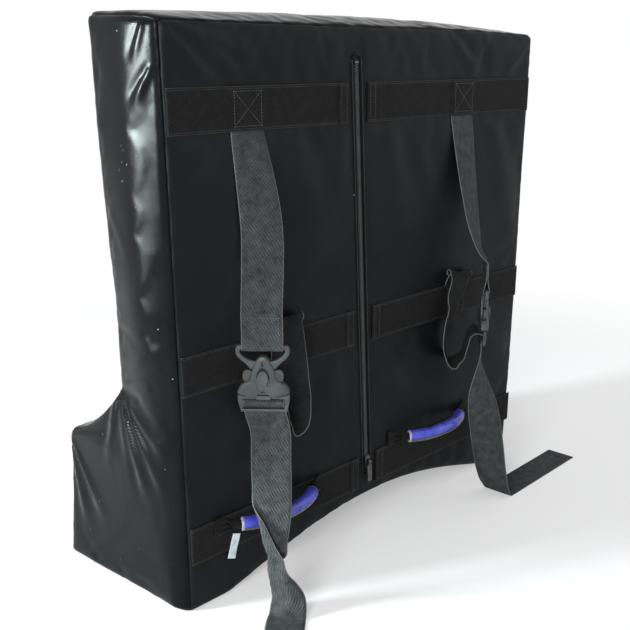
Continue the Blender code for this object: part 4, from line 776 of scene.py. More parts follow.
backFolds = (
    ((-0.345, 0.712), (-0.262, 0.632), (4, 11), 2.6), ((-0.340, 0.716), (-0.215, 0.682), (4, 10), 2.2),
    ((-0.300, 0.700), (-0.235, 0.655), (4, 10), 1.8), ((-0.200, 0.712), (-0.250, 0.655), (4, 10), 1.8),
    ((0.150, 0.712), (0.215, 0.655), (4, 13), 2.4), ((0.240, 0.714), (0.205, 0.660), (4, 10), 1.6),
    ((0.340, 0.705), (0.280, 0.650), (4, 11), 2.2), ((0.345, 0.690), (0.300, 0.655), (3, 8), 1.4),
    ((-0.120, 0.716), (-0.105, 0.660), (4, 9), 1.3), ((0.030, 0.714), (0.020, 0.660), (3, 9), 1.2),
    ((0.095, 0.714), (0.085, 0.664), (3, 9), 1.2), ((-0.060, 0.712), (-0.100, 0.668), (3, 9), 1.0),
    ((-0.205, 0.598), (-0.245, 0.470), (9, 20), 2.6), ((-0.240, 0.480), (-0.325, 0.360), (16, 26), 3.0),
    ((-0.300, 0.590), (-0.335, 0.440), (16, 30), 2.0), ((-0.160, 0.590), (-0.100, 0.420), (16, 36), 2.6),
    ((-0.060, 0.590), (-0.090, 0.470), (10, 26), 2.0), ((0.020, 0.590), (0.060, 0.420), (14, 34), 2.6),
    ((0.080, 0.560), (0.150, 0.400), (18, 36), 2.4), ((0.260, 0.590), (0.330, 0.400), (16, 34), 2.2),
    ((-0.130, 0.290), (-0.300, 0.140), (16, 34), 2.6), ((-0.090, 0.290), (-0.080, 0.150), (12, 30), 2.0),
    ((0.080, 0.280), (0.240, 0.160), (16, 36), 2.4), ((0.020, 0.290), (0.060, 0.160), (12, 30), 2.0),
    ((0.230, 0.270), (0.330, 0.200), (12, 26), 2.0), ((-0.200, 0.280), (-0.320, 0.230), (12, 26), 1.8),
)
panelFolds = {"left": sideFolds, "right": sideFolds, "back": backFolds}


def creases(kind, grid, v):
    # the folds of the sides and the back one by one, and a shallow unevenness on the other panels
    x, y, z = grid[..., 0], grid[..., 1], grid[..., 2]
    total = np.zeros(x.shape)
    for start, end, widths, height in panelFolds.get(kind, ()):
        total += fold(x if kind == "back" else y, z, start, end, [width * mm for width in widths], height * mm)
    if kind == "back":
        # none beside the zip or under a band
        far = np.minimum(np.abs(x - zipX(z)) / (34 * mm), 1) ** 2
        total *= np.where(z > pad["zipLow"] - 20 * mm, far, 1)
        for height in bandHeights.values():
            total *= np.clip((np.abs(z - height) - 26 * mm) / (16 * mm), 0, 1)
    if kind in ("front", "footTop", "footFront", "top"):
        rate = {"front": 16, "footTop": 26, "footFront": 20, "top": 30}[kind]
        total += 1.1 * mm * wander(x * rate + z * 21, 5) * wander(z * rate * 1.4 - x * 9 + y * 17, 7)
    if kind == "footTop":
        below = (1 - v[None, :]) * panels[kind]["size"][1]
        total += 1.4 * mm * wander(x * 60, 3) * np.exp(-(below / (30 * mm)) ** 2)
    return total


def seamPuckers(kind, grid, u, v):
    # short gathers beside each seam, deepest on the top and along the back's upper edge
    size = panels[kind]["size"]
    total = np.zeros(grid.shape[:2])
    sides = (
        (u[:, None] * size[0], grid[..., 2] + grid[..., 1], 1), ((1 - u)[:, None] * size[0], grid[..., 2], 2),
        (v[None, :] * size[1], grid[..., 0] + grid[..., 1], 3), ((1 - v)[None, :] * size[1], grid[..., 0], 4),
    )
    strength = {"back": 0.5, "top": 1.0, "left": 0.55, "right": 0.55}.get(kind, 0.7) * mm
    for distance, run, seed in sides:
        reach = np.exp(-distance / (11 * mm)) * (1 - np.exp(-distance / (1.6 * mm)))
        strong = 1.9 if kind == "back" and seed == 4 else 1.0
        total += strength * strong * wander(run * 130 + 3 * wander(run * 23, seed), seed + 4) * reach
    return total


backLift = {}


def panelShares(kind):
    # shares across and up a panel, and the cells of the back that the zip's slit leaves out
    panel = panels[kind]
    size = panel["size"]
    u, v = (graded(length, panel["step"]) / length for length in size)
    if kind != "back":
        return u, v, None
    block = graded(size[0] * slitLow, panel["step"]) / size[0]
    u = np.concatenate((block, np.linspace(slitLow, slitHigh, 4)[1:-1], 1 - block[::-1]))
    ends = np.array((pad["zipLow"], pad["zipLow"] + pad["zipLength"])) / size[1]
    v = np.sort(np.concatenate((v[(np.abs(v - ends[0]) > 0.003) & (np.abs(v - ends[1]) > 0.003)], ends)))
    return u, v, (len(block) - 1, len(block) + 2, *[int(np.argmin(np.abs(v - place))) for place in ends])


def pressedBack(lift, sharp):
    # the back's cloth lies flat beside the zip, and stays behind a strap where it leaves its band
    x, z = sharp[..., 0], sharp[..., 2]
    near = (np.abs(x - zipX(z)) < pad["zipFlat"]) & (z > pad["zipLow"] - pad["zipFlatBelow"])
    lift = np.where(near & (z < pad["zipFlatTop"]), 0, lift)
    for middle, edge, way, rate in strapRooms:
        away = (edge - z) * way
        beside = np.clip((np.abs(x - middle) - 30 * mm) / (12 * mm), 0, 1)
        room = np.where(away > 0, away * rate, 0) + beside * 4 * mm + np.where(away < 0, 4 * mm, 0)
        lift = np.where((away > -1 * mm) & (away < 70 * mm), np.minimum(lift, room), lift)
    return lift


def writePlaces(mesh, name, places):
    # gives each corner of a mesh the flat place of its vertex
    corners = np.zeros(len(mesh.loops), int)
    mesh.loops.foreach_get("vertex_index", corners)
    uvLayer = mesh.uv_layers.new(name=name)
    uvLayer.uv.foreach_set("vector", np.asarray(places)[corners].astype(np.float32).ravel())


def fitToFrame(piece, body, nodes=()):
    # says which body a piece moves with and which nodes it stands for
    if body:
        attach(piece, body)
    if nodes:
        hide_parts(*nodes)


def makePanel(kind, moved):
    panel = panels[kind]
    size = panel["size"]
    u, v, slit = panelShares(kind)
    sharp = panelGrid(kind, u, v)
    grid = onBody(sharp)
    aside = fromSeam(kind, u, v)
    lift = creases(kind, sharp, v) * np.clip(aside / pad["seamEase"], 0, 1)
    lift += seamPuckers(kind, sharp, u, v)
    if kind in moved:
        lift += resampled(moved[kind], u, v)
    if kind == "back":
        lift = pressedBack(lift, sharp)
        backLift.update(u=u, v=v, lift=np.clip(lift, -3 * mm, 4 * mm))
    if kind == "bottom":
        lift *= 0
    lift = lift - pad["seamTuck"] * np.exp(-((aside / pad["tuckReach"]) ** 2))
    grid = grid + gridNormals(grid) * lift[..., None]
    faces = gridFaces(grid)
    keep = np.ones(faces.shape[:2], bool)
    if slit:
        keep[slit[0]:slit[1], slit[2]:slit[3]] = False
    mesh = bpy.data.meshes.new(kind + "Cover")
    mesh.from_pydata((grid + padShift).reshape(-1, 3).tolist(), [], faces[keep].tolist())
    flat = np.stack(np.meshgrid(u * size[0], v * size[1], indexing="ij"), axis=-1).reshape(-1, 2)
    writePlaces(mesh, "flatPlaces", flat)
    cover = bpy.data.objects.new(kind + "Cover", mesh)
    scene.collection.objects.link(cover)
    shape = bmesh.new()
    shape.from_mesh(mesh)
    loose = [vertex for vertex in shape.verts if not vertex.link_faces]
    bmesh.ops.delete(shape, geom=loose, context="VERTS")
    shape.to_mesh(mesh)
    shape.free()
    wall = cover.modifiers.new("vinyl", "SOLIDIFY")
    wall.thickness = pad["vinyl"]
    wall.offset = -1
    mesh.materials.append(panel["vinyl"])
    bakeModifiers(cover)
    cover.data.shade_smooth()
    fitToFrame(cover, "pad", panel["nodes"])


def bakeModifiers(item):
    evaluated = item.evaluated_get(bpy.context.evaluated_depsgraph_get())
    mesh = bpy.data.meshes.new_from_object(evaluated)
    old = item.data
    item.modifiers.clear()
    item.data = mesh
    mesh.name = item.name
    bpy.data.meshes.remove(old)


movedOut = settleCloth()
for kindName in panels:
    makePanel(kindName, movedOut)


def backOut(x, z):
    # how far the back panel stands out at a place, for what is sewn on it
    x, z = np.broadcast_arrays(np.asarray(x, float), np.asarray(z, float))
    share = (x + pad["width"] / 2) / pad["width"]
    left, right = slitSides(z)
    u = np.where(share < left, slitLow * share / left, np.where(
        share > right, 1 - slitLow * (1 - share) / (1 - right), slitLow + slitWide * (share - left) / (right - left)))
    row = np.clip(np.interp(u, backLift["u"], np.arange(len(backLift["u"]))), 0, len(backLift["u"]) - 1.001)
    column = np.clip(np.interp(z / pad["height"], backLift["v"], np.arange(len(backLift["v"]))), 0,
                     len(backLift["v"]) - 1.001)
    i, j = row.astype(int), column.astype(int)
    a, b = row - i, column - j
    lift = backLift["lift"]
    return (lift[i, j] * (1 - a) * (1 - b) + lift[i + 1, j] * a * (1 - b)
            + lift[i, j + 1] * (1 - a) * b + lift[i + 1, j + 1] * a * b)


def edgeDrop(x):
    # how far the back falls away where it rounds into a side
    radius = pad["edgeRadius"]
    half = pad["width"] / 2 + np.where(np.asarray(x) > 0, pad["rightBulge"] * 0.8, 0)
    past = np.clip(np.abs(x) - (half - radius), 0, radius * 0.95)
    return radius - np.sqrt(radius**2 - past**2)


print("webbing")

web = {
    "width": 50 * mm, "thickness": 1.5 * mm, "gap": 0.3 * mm, "columns": 10, "endInset": 5 * mm,
    "stubGap": 38 * mm, "stubFold": 18 * mm, "rightReach": 9 * mm, "bandSteps": 110, "foldSteps": 14,
    "stepEase": 4.2 * mm,
}
layer = web["thickness"] + web["gap"]
againstBack = -web["gap"] - web["thickness"] / 2


def runLengths(points):
    # the length run along a row of points, at each of them
    return np.concatenate(([0], np.cumsum(np.linalg.norm(np.diff(points, axis=0), axis=1))))


def stripMesh(name, surface, thickness):
    # a woven strip of even thickness with soft edges, over a grid of its middle surface
    rows, columns = surface.shape[:2]
    along = np.gradient(surface, axis=0)
    sideways = np.gradient(surface, axis=1)
    normal = np.cross(along, sideways)
    normal /= np.maximum(np.linalg.norm(normal, axis=2), 1e-12)[..., None]
    half = np.full((rows, columns), thickness / 2)
    half[:, 0] *= 0.72
    half[:, -1] *= 0.72
    outwardA = -sideways[:, 0] / np.linalg.norm(sideways[:, 0], axis=1)[:, None]
    outwardB = sideways[:, -1] / np.linalg.norm(sideways[:, -1], axis=1)[:, None]
    front = surface - normal * half[..., None]
    back = surface + normal * half[..., None]
    edgeA = surface[:, 0] + outwardA * thickness * 0.22
    edgeB = surface[:, -1] + outwardB * thickness * 0.22
    ring = np.concatenate((front, edgeB[:, None], back[:, ::-1], edgeA[:, None]), axis=1)
    widths = runLengths(surface[rows // 2])
    lengths = runLengths(surface[:, columns // 2])
    across = np.concatenate((widths, widths[-1:], widths[::-1], widths[:1]))
    count = ring.shape[1]
    index = np.arange(rows * count).reshape(rows, count)
    following = np.roll(index, -1, axis=1)
    faces = np.stack((index[:-1], index[1:], following[1:], following[:-1]), axis=-1).reshape(-1, 4).tolist()
    for row, flip in ((0, False), (rows - 1, True)):
        for column in range(columns - 1):
            other = 2 * columns - column
            quad = [index[row, column], index[row, column + 1], index[row, other - 1], index[row, other]]
            faces.append(quad[::-1] if flip else quad)
        for corner in ((0, 2 * columns, count - 1), (columns, columns + 1, columns - 1)):
            tip = [int(index[row, place]) for place in corner]
            faces.append(tip[::-1] if flip else tip)
    mesh = bpy.data.meshes.new(name)
    mesh.from_pydata(ring.reshape(-1, 3).tolist(), [], [[int(place) for place in face] for face in faces])
    flat = np.stack(np.broadcast_arrays(across[None, :], lengths[:, None]), axis=-1).reshape(-1, 2)
    writePlaces(mesh, "flatPlaces", flat)
    shape = bmesh.new()
    shape.from_mesh(mesh)
    bmesh.ops.recalc_face_normals(shape, faces=shape.faces)
    shape.to_mesh(mesh)
    shape.free()
    mesh.shade_smooth()
    return mesh, float(lengths[-1])


def addPiece(name, mesh, material, body, nodes=()):
    piece = bpy.data.objects.new(name, mesh)
    scene.collection.objects.link(piece)
    mesh.materials.clear()
    mesh.materials.append(material)
    fitToFrame(piece, body, nodes)
    return piece


strap = {
    "left": {
        "x": -233 * mm, "slackX": -182 * mm, "standoff": 40 * mm, "shift": -20 * mm, "turn": -48.0,
        "upper": ((0.00, 0.026, 1.0, 0), (0.03, 0.10, 0.90, -6), (0.05, 0.27, 0.76, -18), (0.00, 0.55, 0.54, -34),
                  (-0.20, 0.80, 0.34, -45), (-0.34, 0.93, 0.20, -48)),
        "slack": ((-0.04, 0.08, 0.24, 0), (-0.10, 0.20, 0.40, 0), (-0.16, 0.32, 0.16, -6), (-0.20, 0.42, -0.50, -16),
                  (-0.22, 0.48, -1.20, -28), (-0.24, 0.54, -1.85, -42), (-0.34, 0.57, -2.28, -56),
                  (-0.62, 0.56, -2.42, -62), (-0.88, 0.52, -2.20, -58), (-1.00, 0.50, -1.86, -50)),
        "tail": ((-0.27, 1.06, 0.91, -48), (-0.39, 1.25, 0.76, -48), (-0.54, 1.45, 0.63, -48),
                 (-0.71, 1.63, 0.50, -48), (-0.95, 1.78, 0.37, -44), (-0.99, 1.86, 0.29, 88),
                 (-0.76, 2.02, 0.16, 97), (-0.69, 2.25, 0.07, 104)),
        "floorTurn": 132.0, "floorHeading": 222.0, "lag": 130 * mm,
    },
    "right": {
        "x": 181 * mm, "slackX": 181 * mm, "standoff": 58 * mm, "shift": 1 * mm, "turn": 41.0,
        "upper": ((0.00, 0.018, 1.0, 0), (0.03, 0.06, 0.90, 1), (0.05, 0.17, 0.74, 5), (0.02, 0.38, 0.52, 12),
                  (-0.05, 0.63, 0.33, 21), (-0.05, 0.83, 0.215, 33)),
        "slack": ((0.00, 0.08, 0.22, 2), (0.02, 0.17, 0.36, 4), (-0.05, 0.24, 0.20, 6), (-0.30, 0.27, -0.30, 12),
                  (-0.48, 0.31, -0.70, 20), (-0.84, 0.38, -1.19, 31), (-0.94, 0.42, -1.83, 38),
                  (-0.65, 0.51, -2.31, 41), (-0.41, 0.67, -2.17, 41), (-0.36, 0.83, -1.71, 41)),
        "tail": ((-0.02, 1.00, 0.90, 38), (-0.02, 1.06, 0.78, 14), (-0.02, 1.14, 0.64, -22),
                 (0.06, 1.22, 0.48, -46), (0.16, 1.30, 0.32, -56), (0.26, 1.38, 0.17, -70),
                 (0.38, 1.46, 0.07, -82)),
        "floorTurn": -88.0, "floorHeading": 2.0, "lag": 45 * mm,
    },
    "buckleTop": 350 * mm, "turnBack": 38 * mm, "floorLength": 205 * mm, "floorBend": 10 * mm,
}
buckle = {
    "halfWidth": 33 * mm, "length": 86.5 * mm, "thickness": 12 * mm, "ringThickness": 5.5 * mm, "ringBar": 5.5 * mm,
    "frame": 4.4 * mm, "bar": 3.5 * mm, "adjusterTop": 73 * mm,
}


def smoothLine(stations, steps):
    # a smooth line of places and turns through the stations
    values = np.array(stations, float)
    spans = np.linalg.norm(np.diff(values[:, :3], axis=0), axis=1)
    rates = np.diff(values, axis=0) / spans[:, None]
    slopes = np.vstack((rates[:1], rates[:-1], rates[-1:]))
    for here in range(1, len(values) - 1):
        weight = spans[here] / (spans[here - 1] + spans[here])
        slopes[here] = rates[here - 1] * weight + rates[here] * (1 - weight)
    line = []
    for here, span in enumerate(spans):
        for step in range(steps):
            t = step / steps
            line.append((1 + 2 * t) * (1 - t) ** 2 * values[here] + t * (1 - t) ** 2 * span * slopes[here]
                        + t**2 * (3 - 2 * t) * values[here + 1] + t**2 * (t - 1) * span * slopes[here + 1])
    line.append(values[-1])
    return np.array(line)


def ribbonSurface(line, columns=None, lag=0.0, sag=0.0):
    # the middle surface of a web along a line of places and turns; a lag curls its width
    columns = columns or web["columns"]
    centre, turns = line[:, :3], line[:, 3]
    lengths = runLengths(centre)
    tangent = np.gradient(centre, axis=0)
    tangent /= np.linalg.norm(tangent, axis=1)[:, None]
    shares = np.linspace(-0.5, 0.5, columns + 1)
    grid = np.zeros((len(line), columns + 1, 3))
    middle = columns // 2
    grid[:, middle] = centre
    for direction in (-1, 1):
        place = centre.copy()
        column = middle
        while 0 <= column + direction <= columns:
            share = (shares[column] + shares[column + direction]) / 2
            turn = np.radians(np.interp(lengths - share * lag, lengths, turns))
            wide = np.stack((np.cos(turn), np.sin(turn), np.zeros_like(turn)), axis=1)
            wide -= tangent * (wide * tangent).sum(axis=1)[:, None]
            wide /= np.linalg.norm(wide, axis=1)[:, None]
            place = place + direction * wide * web["width"] / columns
            column += direction
            grid[:, column] = place
    if sag:
        cup = np.cross(tangent, grid[:, -1] - grid[:, 0])
        cup /= np.linalg.norm(cup, axis=1)[:, None]
        ends = np.clip(np.minimum(lengths, lengths[-1] - lengths) / (60 * mm), 0, 1)
        bend = sag * wander(lengths * 22, 2) * ends
        grid += cup[:, None, :] * (bend[:, None] * (1 - (2 * shares) ** 2)[None, :])[..., None]
    grid[:, :, 2] = np.maximum(grid[:, :, 2], web["gap"] + web["thickness"] / 2)
    return grid


def onAxes(place, out, drop):
    # a place in a buckle's own upright frame
    x, y, z, turn = place
    angle = math.radians(turn)
    return (x - math.sin(angle) * out, y + math.cos(angle) * out, z - drop)


def halfTurn(drop, radius, steps, under=True):
    # half a turn round a bar, out and down in a buckle's frame
    points = []
    for step in range(steps + 1):
        angle = math.pi * step / steps
        down = math.sin(angle) if under else -math.sin(angle)
        points.append((-radius * math.cos(angle), drop + radius * down))
    return points


def addBands():
    # each band runs from a side to the zip, over the web sewn under it, and is folded under its own end
    for word, height in bandHeights.items():
        for side, sideWord in ((-1, "left"), (1, "right")):
            outer = side * (pad["width"] / 2 - web["endInset"]) + (side > 0) * web["rightReach"]
            inner = zipX(height) + side * web["stubGap"] / 2
            under = strap[sideWord]["slackX" if word == "middle" else "x"]
            x = np.linspace(outer, inner + side * web["thickness"] / 2, web["bandSteps"])
            lift = np.zeros_like(x)
            if word != "bottom":
                reach = np.abs(x - under)
                lift = layer * (1 - np.clip((reach - web["width"] / 2 - web["gap"]) / web["stepEase"], 0, 1))
                lift = layer * (lift / layer) ** 2 * (3 - 2 * lift / layer)
            y = -web["gap"] - web["thickness"] / 2 - lift
            bendX, bendY = [], []
            for step in range(1, 6):
                angle = math.pi * step / 6
                bendX.append(x[-1] - side * math.sin(angle) * web["thickness"] / 2)
                bendY.append(y[-1] - (1 - math.cos(angle)) * web["thickness"] / 2)
            foldX = np.linspace(x[-1], inner + side * web["stubFold"], web["foldSteps"])
            x = np.concatenate((x, bendX, foldX))
            y = np.concatenate((y, bendY, np.full(web["foldSteps"], y[-1] - web["thickness"])))
            shares = np.linspace(-0.5, 0.5, web["columns"] + 1)
            z = height + shares * web["width"]
            grid = np.zeros((len(x), len(z), 3))
            grid[..., 0] = x[:, None]
            grid[..., 2] = z[None, :]
            ripple = 0.25 * mm * wander(x * 90, 3 + side)[:, None] * (np.abs(shares) * 2)[None, :] ** 3
            out = backOut(grid[..., 0], grid[..., 2]) - edgeDrop(grid[..., 0])
            grid[..., 1] = y[:, None] - out - np.abs(ripple)
            name = word + ("LeftBand" if side < 0 else "RightBand")
            mesh, length = stripMesh(name, grid + padShift, web["thickness"])
            piece = addPiece(name, mesh, bandWebbing, "pad", (word + "_band_" + sideWord,))


def buckleFrame(side):
    # the top of a buckle and its turn about the upright
    facts = strap[side]
    return (facts["x"] + facts["shift"], -facts["standoff"], strap["buckleTop"], facts["turn"])


def routed(facts, shares, bottom, top):
    # places and turns from shares of the web's width, the buckle's standoff and the height between two levels
    return [(facts["x"] + a * web["width"], -o * facts["standoff"], bottom + r * (top - bottom), t)
            for a, o, r, t in shares]


def addUpperStrap(side):
    # from under the top band down to the socket, round its ring bar and back
    facts = strap[side]
    low = bandHeights["top"] - web["width"] / 2
    place = buckleFrame(side)
    layerOut = web["thickness"] / 2 + web["gap"] / 2
    back = strap["turnBack"]
    stations = routed(facts, facts["upper"], strap["buckleTop"], low - web["gap"])
    stations[0] = (facts["x"], againstBack, low - web["width"] / 10, 0)
    barClear = buckle["ringBar"] / 2 * 1.3 + web["gap"] + web["thickness"] / 2
    wrap = [(-layerOut, -back * 0.45), (-layerOut * 2, -back * 0.25)]
    wrap += halfTurn(buckle["ringBar"] / 2, barClear, 12)
    wrap += [(layerOut * 2, -back * 0.25), (layerOut, -back * 0.45), (layerOut, -back * 0.72), (layerOut, -back)]
    stations.append((*onAxes(place, -layerOut, -back), facts["turn"]))
    under = [(facts["x"], againstBack, low + share * web["width"], 0) for share in (0.96, 0.6, 0.3, 0.05)]
    line = under + list(smoothLine(stations, 8))
    line += [(*onAxes(place, out, drop), facts["turn"]) for out, drop in wrap]
    mesh, length = stripMesh(side + "UpperStrap", ribbonSurface(np.array(line)) + padShift, web["thickness"])
    piece = addPiece(side + "UpperStrap", mesh, strapWebbing, None,
                     (side + "_upper_strap", side + "_strap_anchor"))
    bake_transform(piece)


def addSlackWeb(side):
    # from under the middle band, in a loop that hangs beside the buckle, up to the adjuster
    facts = strap[side]
    place = buckleFrame(side)
    bandTop = bandHeights["middle"] + web["width"] / 2
    stations = [(facts["slackX"], againstBack, bandTop, 0)]
    for a, o, r, t in facts["slack"]:
        stations.append((facts["slackX"] + a * web["width"], -o * web["width"], bandTop + r * web["width"], t))
    for out, drop in ((0.23, 0.87), (0.16, 0.80), (0.090, 0.799)):
        stations.append((*onAxes(place, out * buckle["length"], drop * buckle["length"]), facts["turn"]))
    start = [(facts["slackX"], againstBack, bandTop - share * web["width"], 0) for share in (0.98, 0.6, 0.25)]
    line = np.vstack((start, smoothLine(stations, 8)))
    mesh, length = stripMesh(side + "SlackWeb", ribbonSurface(line) + padShift, web["thickness"])
    # the loop takes the darker copy of the strap webbing as painted shade
    piece = addPiece(side + "SlackWeb", mesh, slackWebbingPaintedShade, None, (side + "_slack_web",))
    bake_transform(piece)


def addTailWeb(side):
    # round the adjuster's bars, down to the floor and out along it
    facts = strap[side]
    place = buckleFrame(side)
    bar = buckle["adjusterTop"] + buckle["bar"] / 2
    radius = buckle["frame"] / 2 * 1.1 + web["gap"] + web["thickness"] / 2
    wrap = [(out * buckle["length"], drop * buckle["length"]) for out, drop in
            ((0.085, 0.802), (0.06, 0.812), (0.03, 0.820))]
    wrap += halfTurn(bar, radius, 12, under=False)[6::-1]
    wrap += [(-radius * 0.96, bar + buckle["bar"] * 0.45), (-radius * 0.65, bar + buckle["bar"] * 0.93),
             (0, bar + buckle["bar"] * 1.43), (radius * 0.65, bar + buckle["bar"] * 1.93),
             (radius * 0.96, bar + buckle["bar"] * 2.41), (radius, buckle["length"])]
    line = [np.array((*onAxes(place, out, drop), facts["turn"])) for out, drop in wrap]
    plugLow = strap["buckleTop"] - buckle["length"]
    stations = [tuple(line[-1])] + routed(facts, facts["tail"], 0, plugLow)
    heading = math.radians(facts["floorHeading"])
    step = np.array((math.cos(heading), math.sin(heading), 0))
    touch = np.array(stations[-1][:3]) + step * strap["floorBend"] * 1.5
    touch[2] = web["gap"] + web["thickness"] / 2
    for share in (0.0, 0.1, 0.4, 0.7, 1.0):
        stations.append((*(touch + step * strap["floorLength"] * share), facts["floorTurn"]))
    line = np.vstack((line[:-1], smoothLine(stations, 8)))
    surface = ribbonSurface(line, columns=12, lag=facts["lag"])
    mesh, length = stripMesh(side + "TailWeb", surface + padShift, web["thickness"])
    piece = addPiece(side + "TailWeb", mesh, strapWebbing, side + "_strap", (side + "_tail_web",))


addBands()
for sideWord in ("left", "right"):
    addUpperStrap(sideWord)
    addSlackWeb(sideWord)
    addTailWeb(sideWord)

print("buckles")

buckleShares = {
    "ringOuter": ((0.86, 0.0), (0.95, 0.012), (1.0, 0.05), (1.0, 0.12), (0.90, 0.19), (0.68, 0.262), (0.52, 0.32),
                  (0.44, 0.40)),
    "ringHole": ((0.80, 0.066), (0.84, 0.09), (0.82, 0.125), (0.64, 0.19), (0.38, 0.235), (0.0, 0.245)),
    "body": ((0.0, 0.158), (0.13, 0.172), (0.25, 0.225), (0.34, 0.30), (0.42, 0.365), (0.45, 0.43), (0.50, 0.50),
             (0.62, 0.540), (0.78, 0.565), (0.90, 0.62), (0.97, 0.69), (0.97, 0.715), (0.70, 0.755),
             (0.29, 0.78), (0.29, 0.735)),
    "cavity": ((0.30, 0.36), (0.34, 0.345), (1.1, 0.345), (1.1, 0.545), (0.72, 0.545), (0.72, 0.9)),
}


def halfOutline(shares):
    # an outline of the buckle from the shares of its right half
    points = [(buckle["halfWidth"] * x, -buckle["length"] * w) for x, w in shares]
    return points + [(-x, z) for x, z in reversed(points) if x > 0.1 * mm]


def rounded(outline, steps=3):
    # softens an outline's corners without leaving its path
    points = np.array(outline)
    for _ in range(steps):
        following = np.roll(points, -1, axis=0)
        points = np.stack((points * 0.82 + following * 0.18, points * 0.18 + following * 0.82), axis=1).reshape(-1, 2)
    return [tuple(point) for point in points]


def plateMesh(name, outlines, thickness, rounding=0.0, centre=0.0):
    # an upright plate with rounded edges over flat outlines, holes included
    curve = bpy.data.curves.new(name, "CURVE")
    curve.dimensions = "2D"
    curve.fill_mode = "BOTH"
    curve.extrude = thickness / 2 - rounding
    curve.bevel_depth = rounding
    curve.offset = -rounding
    curve.bevel_resolution = 3
    for outline in outlines:
        spline = curve.splines.new("POLY")
        spline.points.add(len(outline) - 1)
        for target, (x, z) in zip(spline.points, outline):
            target.co = (x, z, 0, 1)
        spline.use_cyclic_u = True
    guide = bpy.data.objects.new(name, curve)
    scene.collection.objects.link(guide)
    bpy.context.view_layer.update()
    mesh = bpy.data.meshes.new_from_object(guide.evaluated_get(bpy.context.evaluated_depsgraph_get()))
    bpy.data.objects.remove(guide)
    shape = bmesh.new()
    shape.from_mesh(mesh)
    bmesh.ops.remove_doubles(shape, verts=shape.verts, dist=0.01 * mm)
    shape.transform(Matrix.Translation((0, centre, 0)) @ Matrix.Rotation(math.radians(90), 4, "X"))
    bmesh.ops.recalc_face_normals(shape, faces=shape.faces)
    shape.to_mesh(mesh)
    shape.free()
    return mesh


def combine(item, tools):
    # joins or cuts a piece with tools, one after another
    for mesh, operation in tools:
        tool = bpy.data.objects.new("tool", mesh)
        scene.collection.objects.link(tool)
        modifier = item.modifiers.new("tool", "BOOLEAN")
        modifier.operation = operation
        modifier.object = tool
        modifier.solver = "EXACT"
        bpy.context.view_layer.update()
        bakeModifiers(item)
        bpy.data.objects.remove(tool)


def ringFaces(shape, rings):
    # joins each ring of vertices to the next
    for first, second in zip(rings, rings[1:]):
        for here in range(len(first)):
            after = (here + 1) % len(first)
            shape.faces.new((first[here], first[after], second[after], second[here]))


def ringLoft(name, rings, closed=False):
    # a smooth skin over rings of places, closed on itself or capped at both ends
    shape = bmesh.new()
    made = [[shape.verts.new(place) for place in ring] for ring in rings]
    ringFaces(shape, made + made[:1] if closed else made)
    if not closed:
        shape.faces.new(made[0])
        shape.faces.new(made[-1])
    bmesh.ops.recalc_face_normals(shape, faces=shape.faces)
    mesh = bpy.data.meshes.new(name)
    shape.to_mesh(mesh)
    shape.free()
    mesh.shade_smooth()
    return mesh


def ovalOutline(centre, halfX, halfZ, steps=28, middle=0.0):
    angles = [math.tau * step / steps for step in range(steps)]
    return [(middle + halfX * math.cos(angle), centre + halfZ * math.sin(angle)) for angle in angles]


def domeMesh(name, outline, centre, base, rise):
    # a crowned shell over an outline, closed behind
    outline = np.array(outline)
    middle = np.array(centre)
    shape = bmesh.new()
    rings = []
    for share, lift in ((1.0, -0.6), (1.0, 0.0), (0.975, 0.30), (0.93, 0.52), (0.84, 0.72), (0.68, 0.88),
                        (0.45, 0.97), (0.2, 1.0)):
        ring = []
        for x, z in middle + (outline - middle) * share:
            ring.append(shape.verts.new((x, base - rise * lift, z)))
        rings.append(ring)
    ringFaces(shape, rings)
    shape.faces.new(rings[0])
    tip = shape.verts.new((middle[0], base - rise, middle[1]))
    for here in range(len(rings[-1])):
        shape.faces.new((rings[-1][here], rings[-1][(here + 1) % len(rings[-1])], tip))
    bmesh.ops.recalc_face_normals(shape, faces=shape.faces)
    mesh = bpy.data.meshes.new(name)
    shape.to_mesh(mesh)
    shape.free()
    return mesh


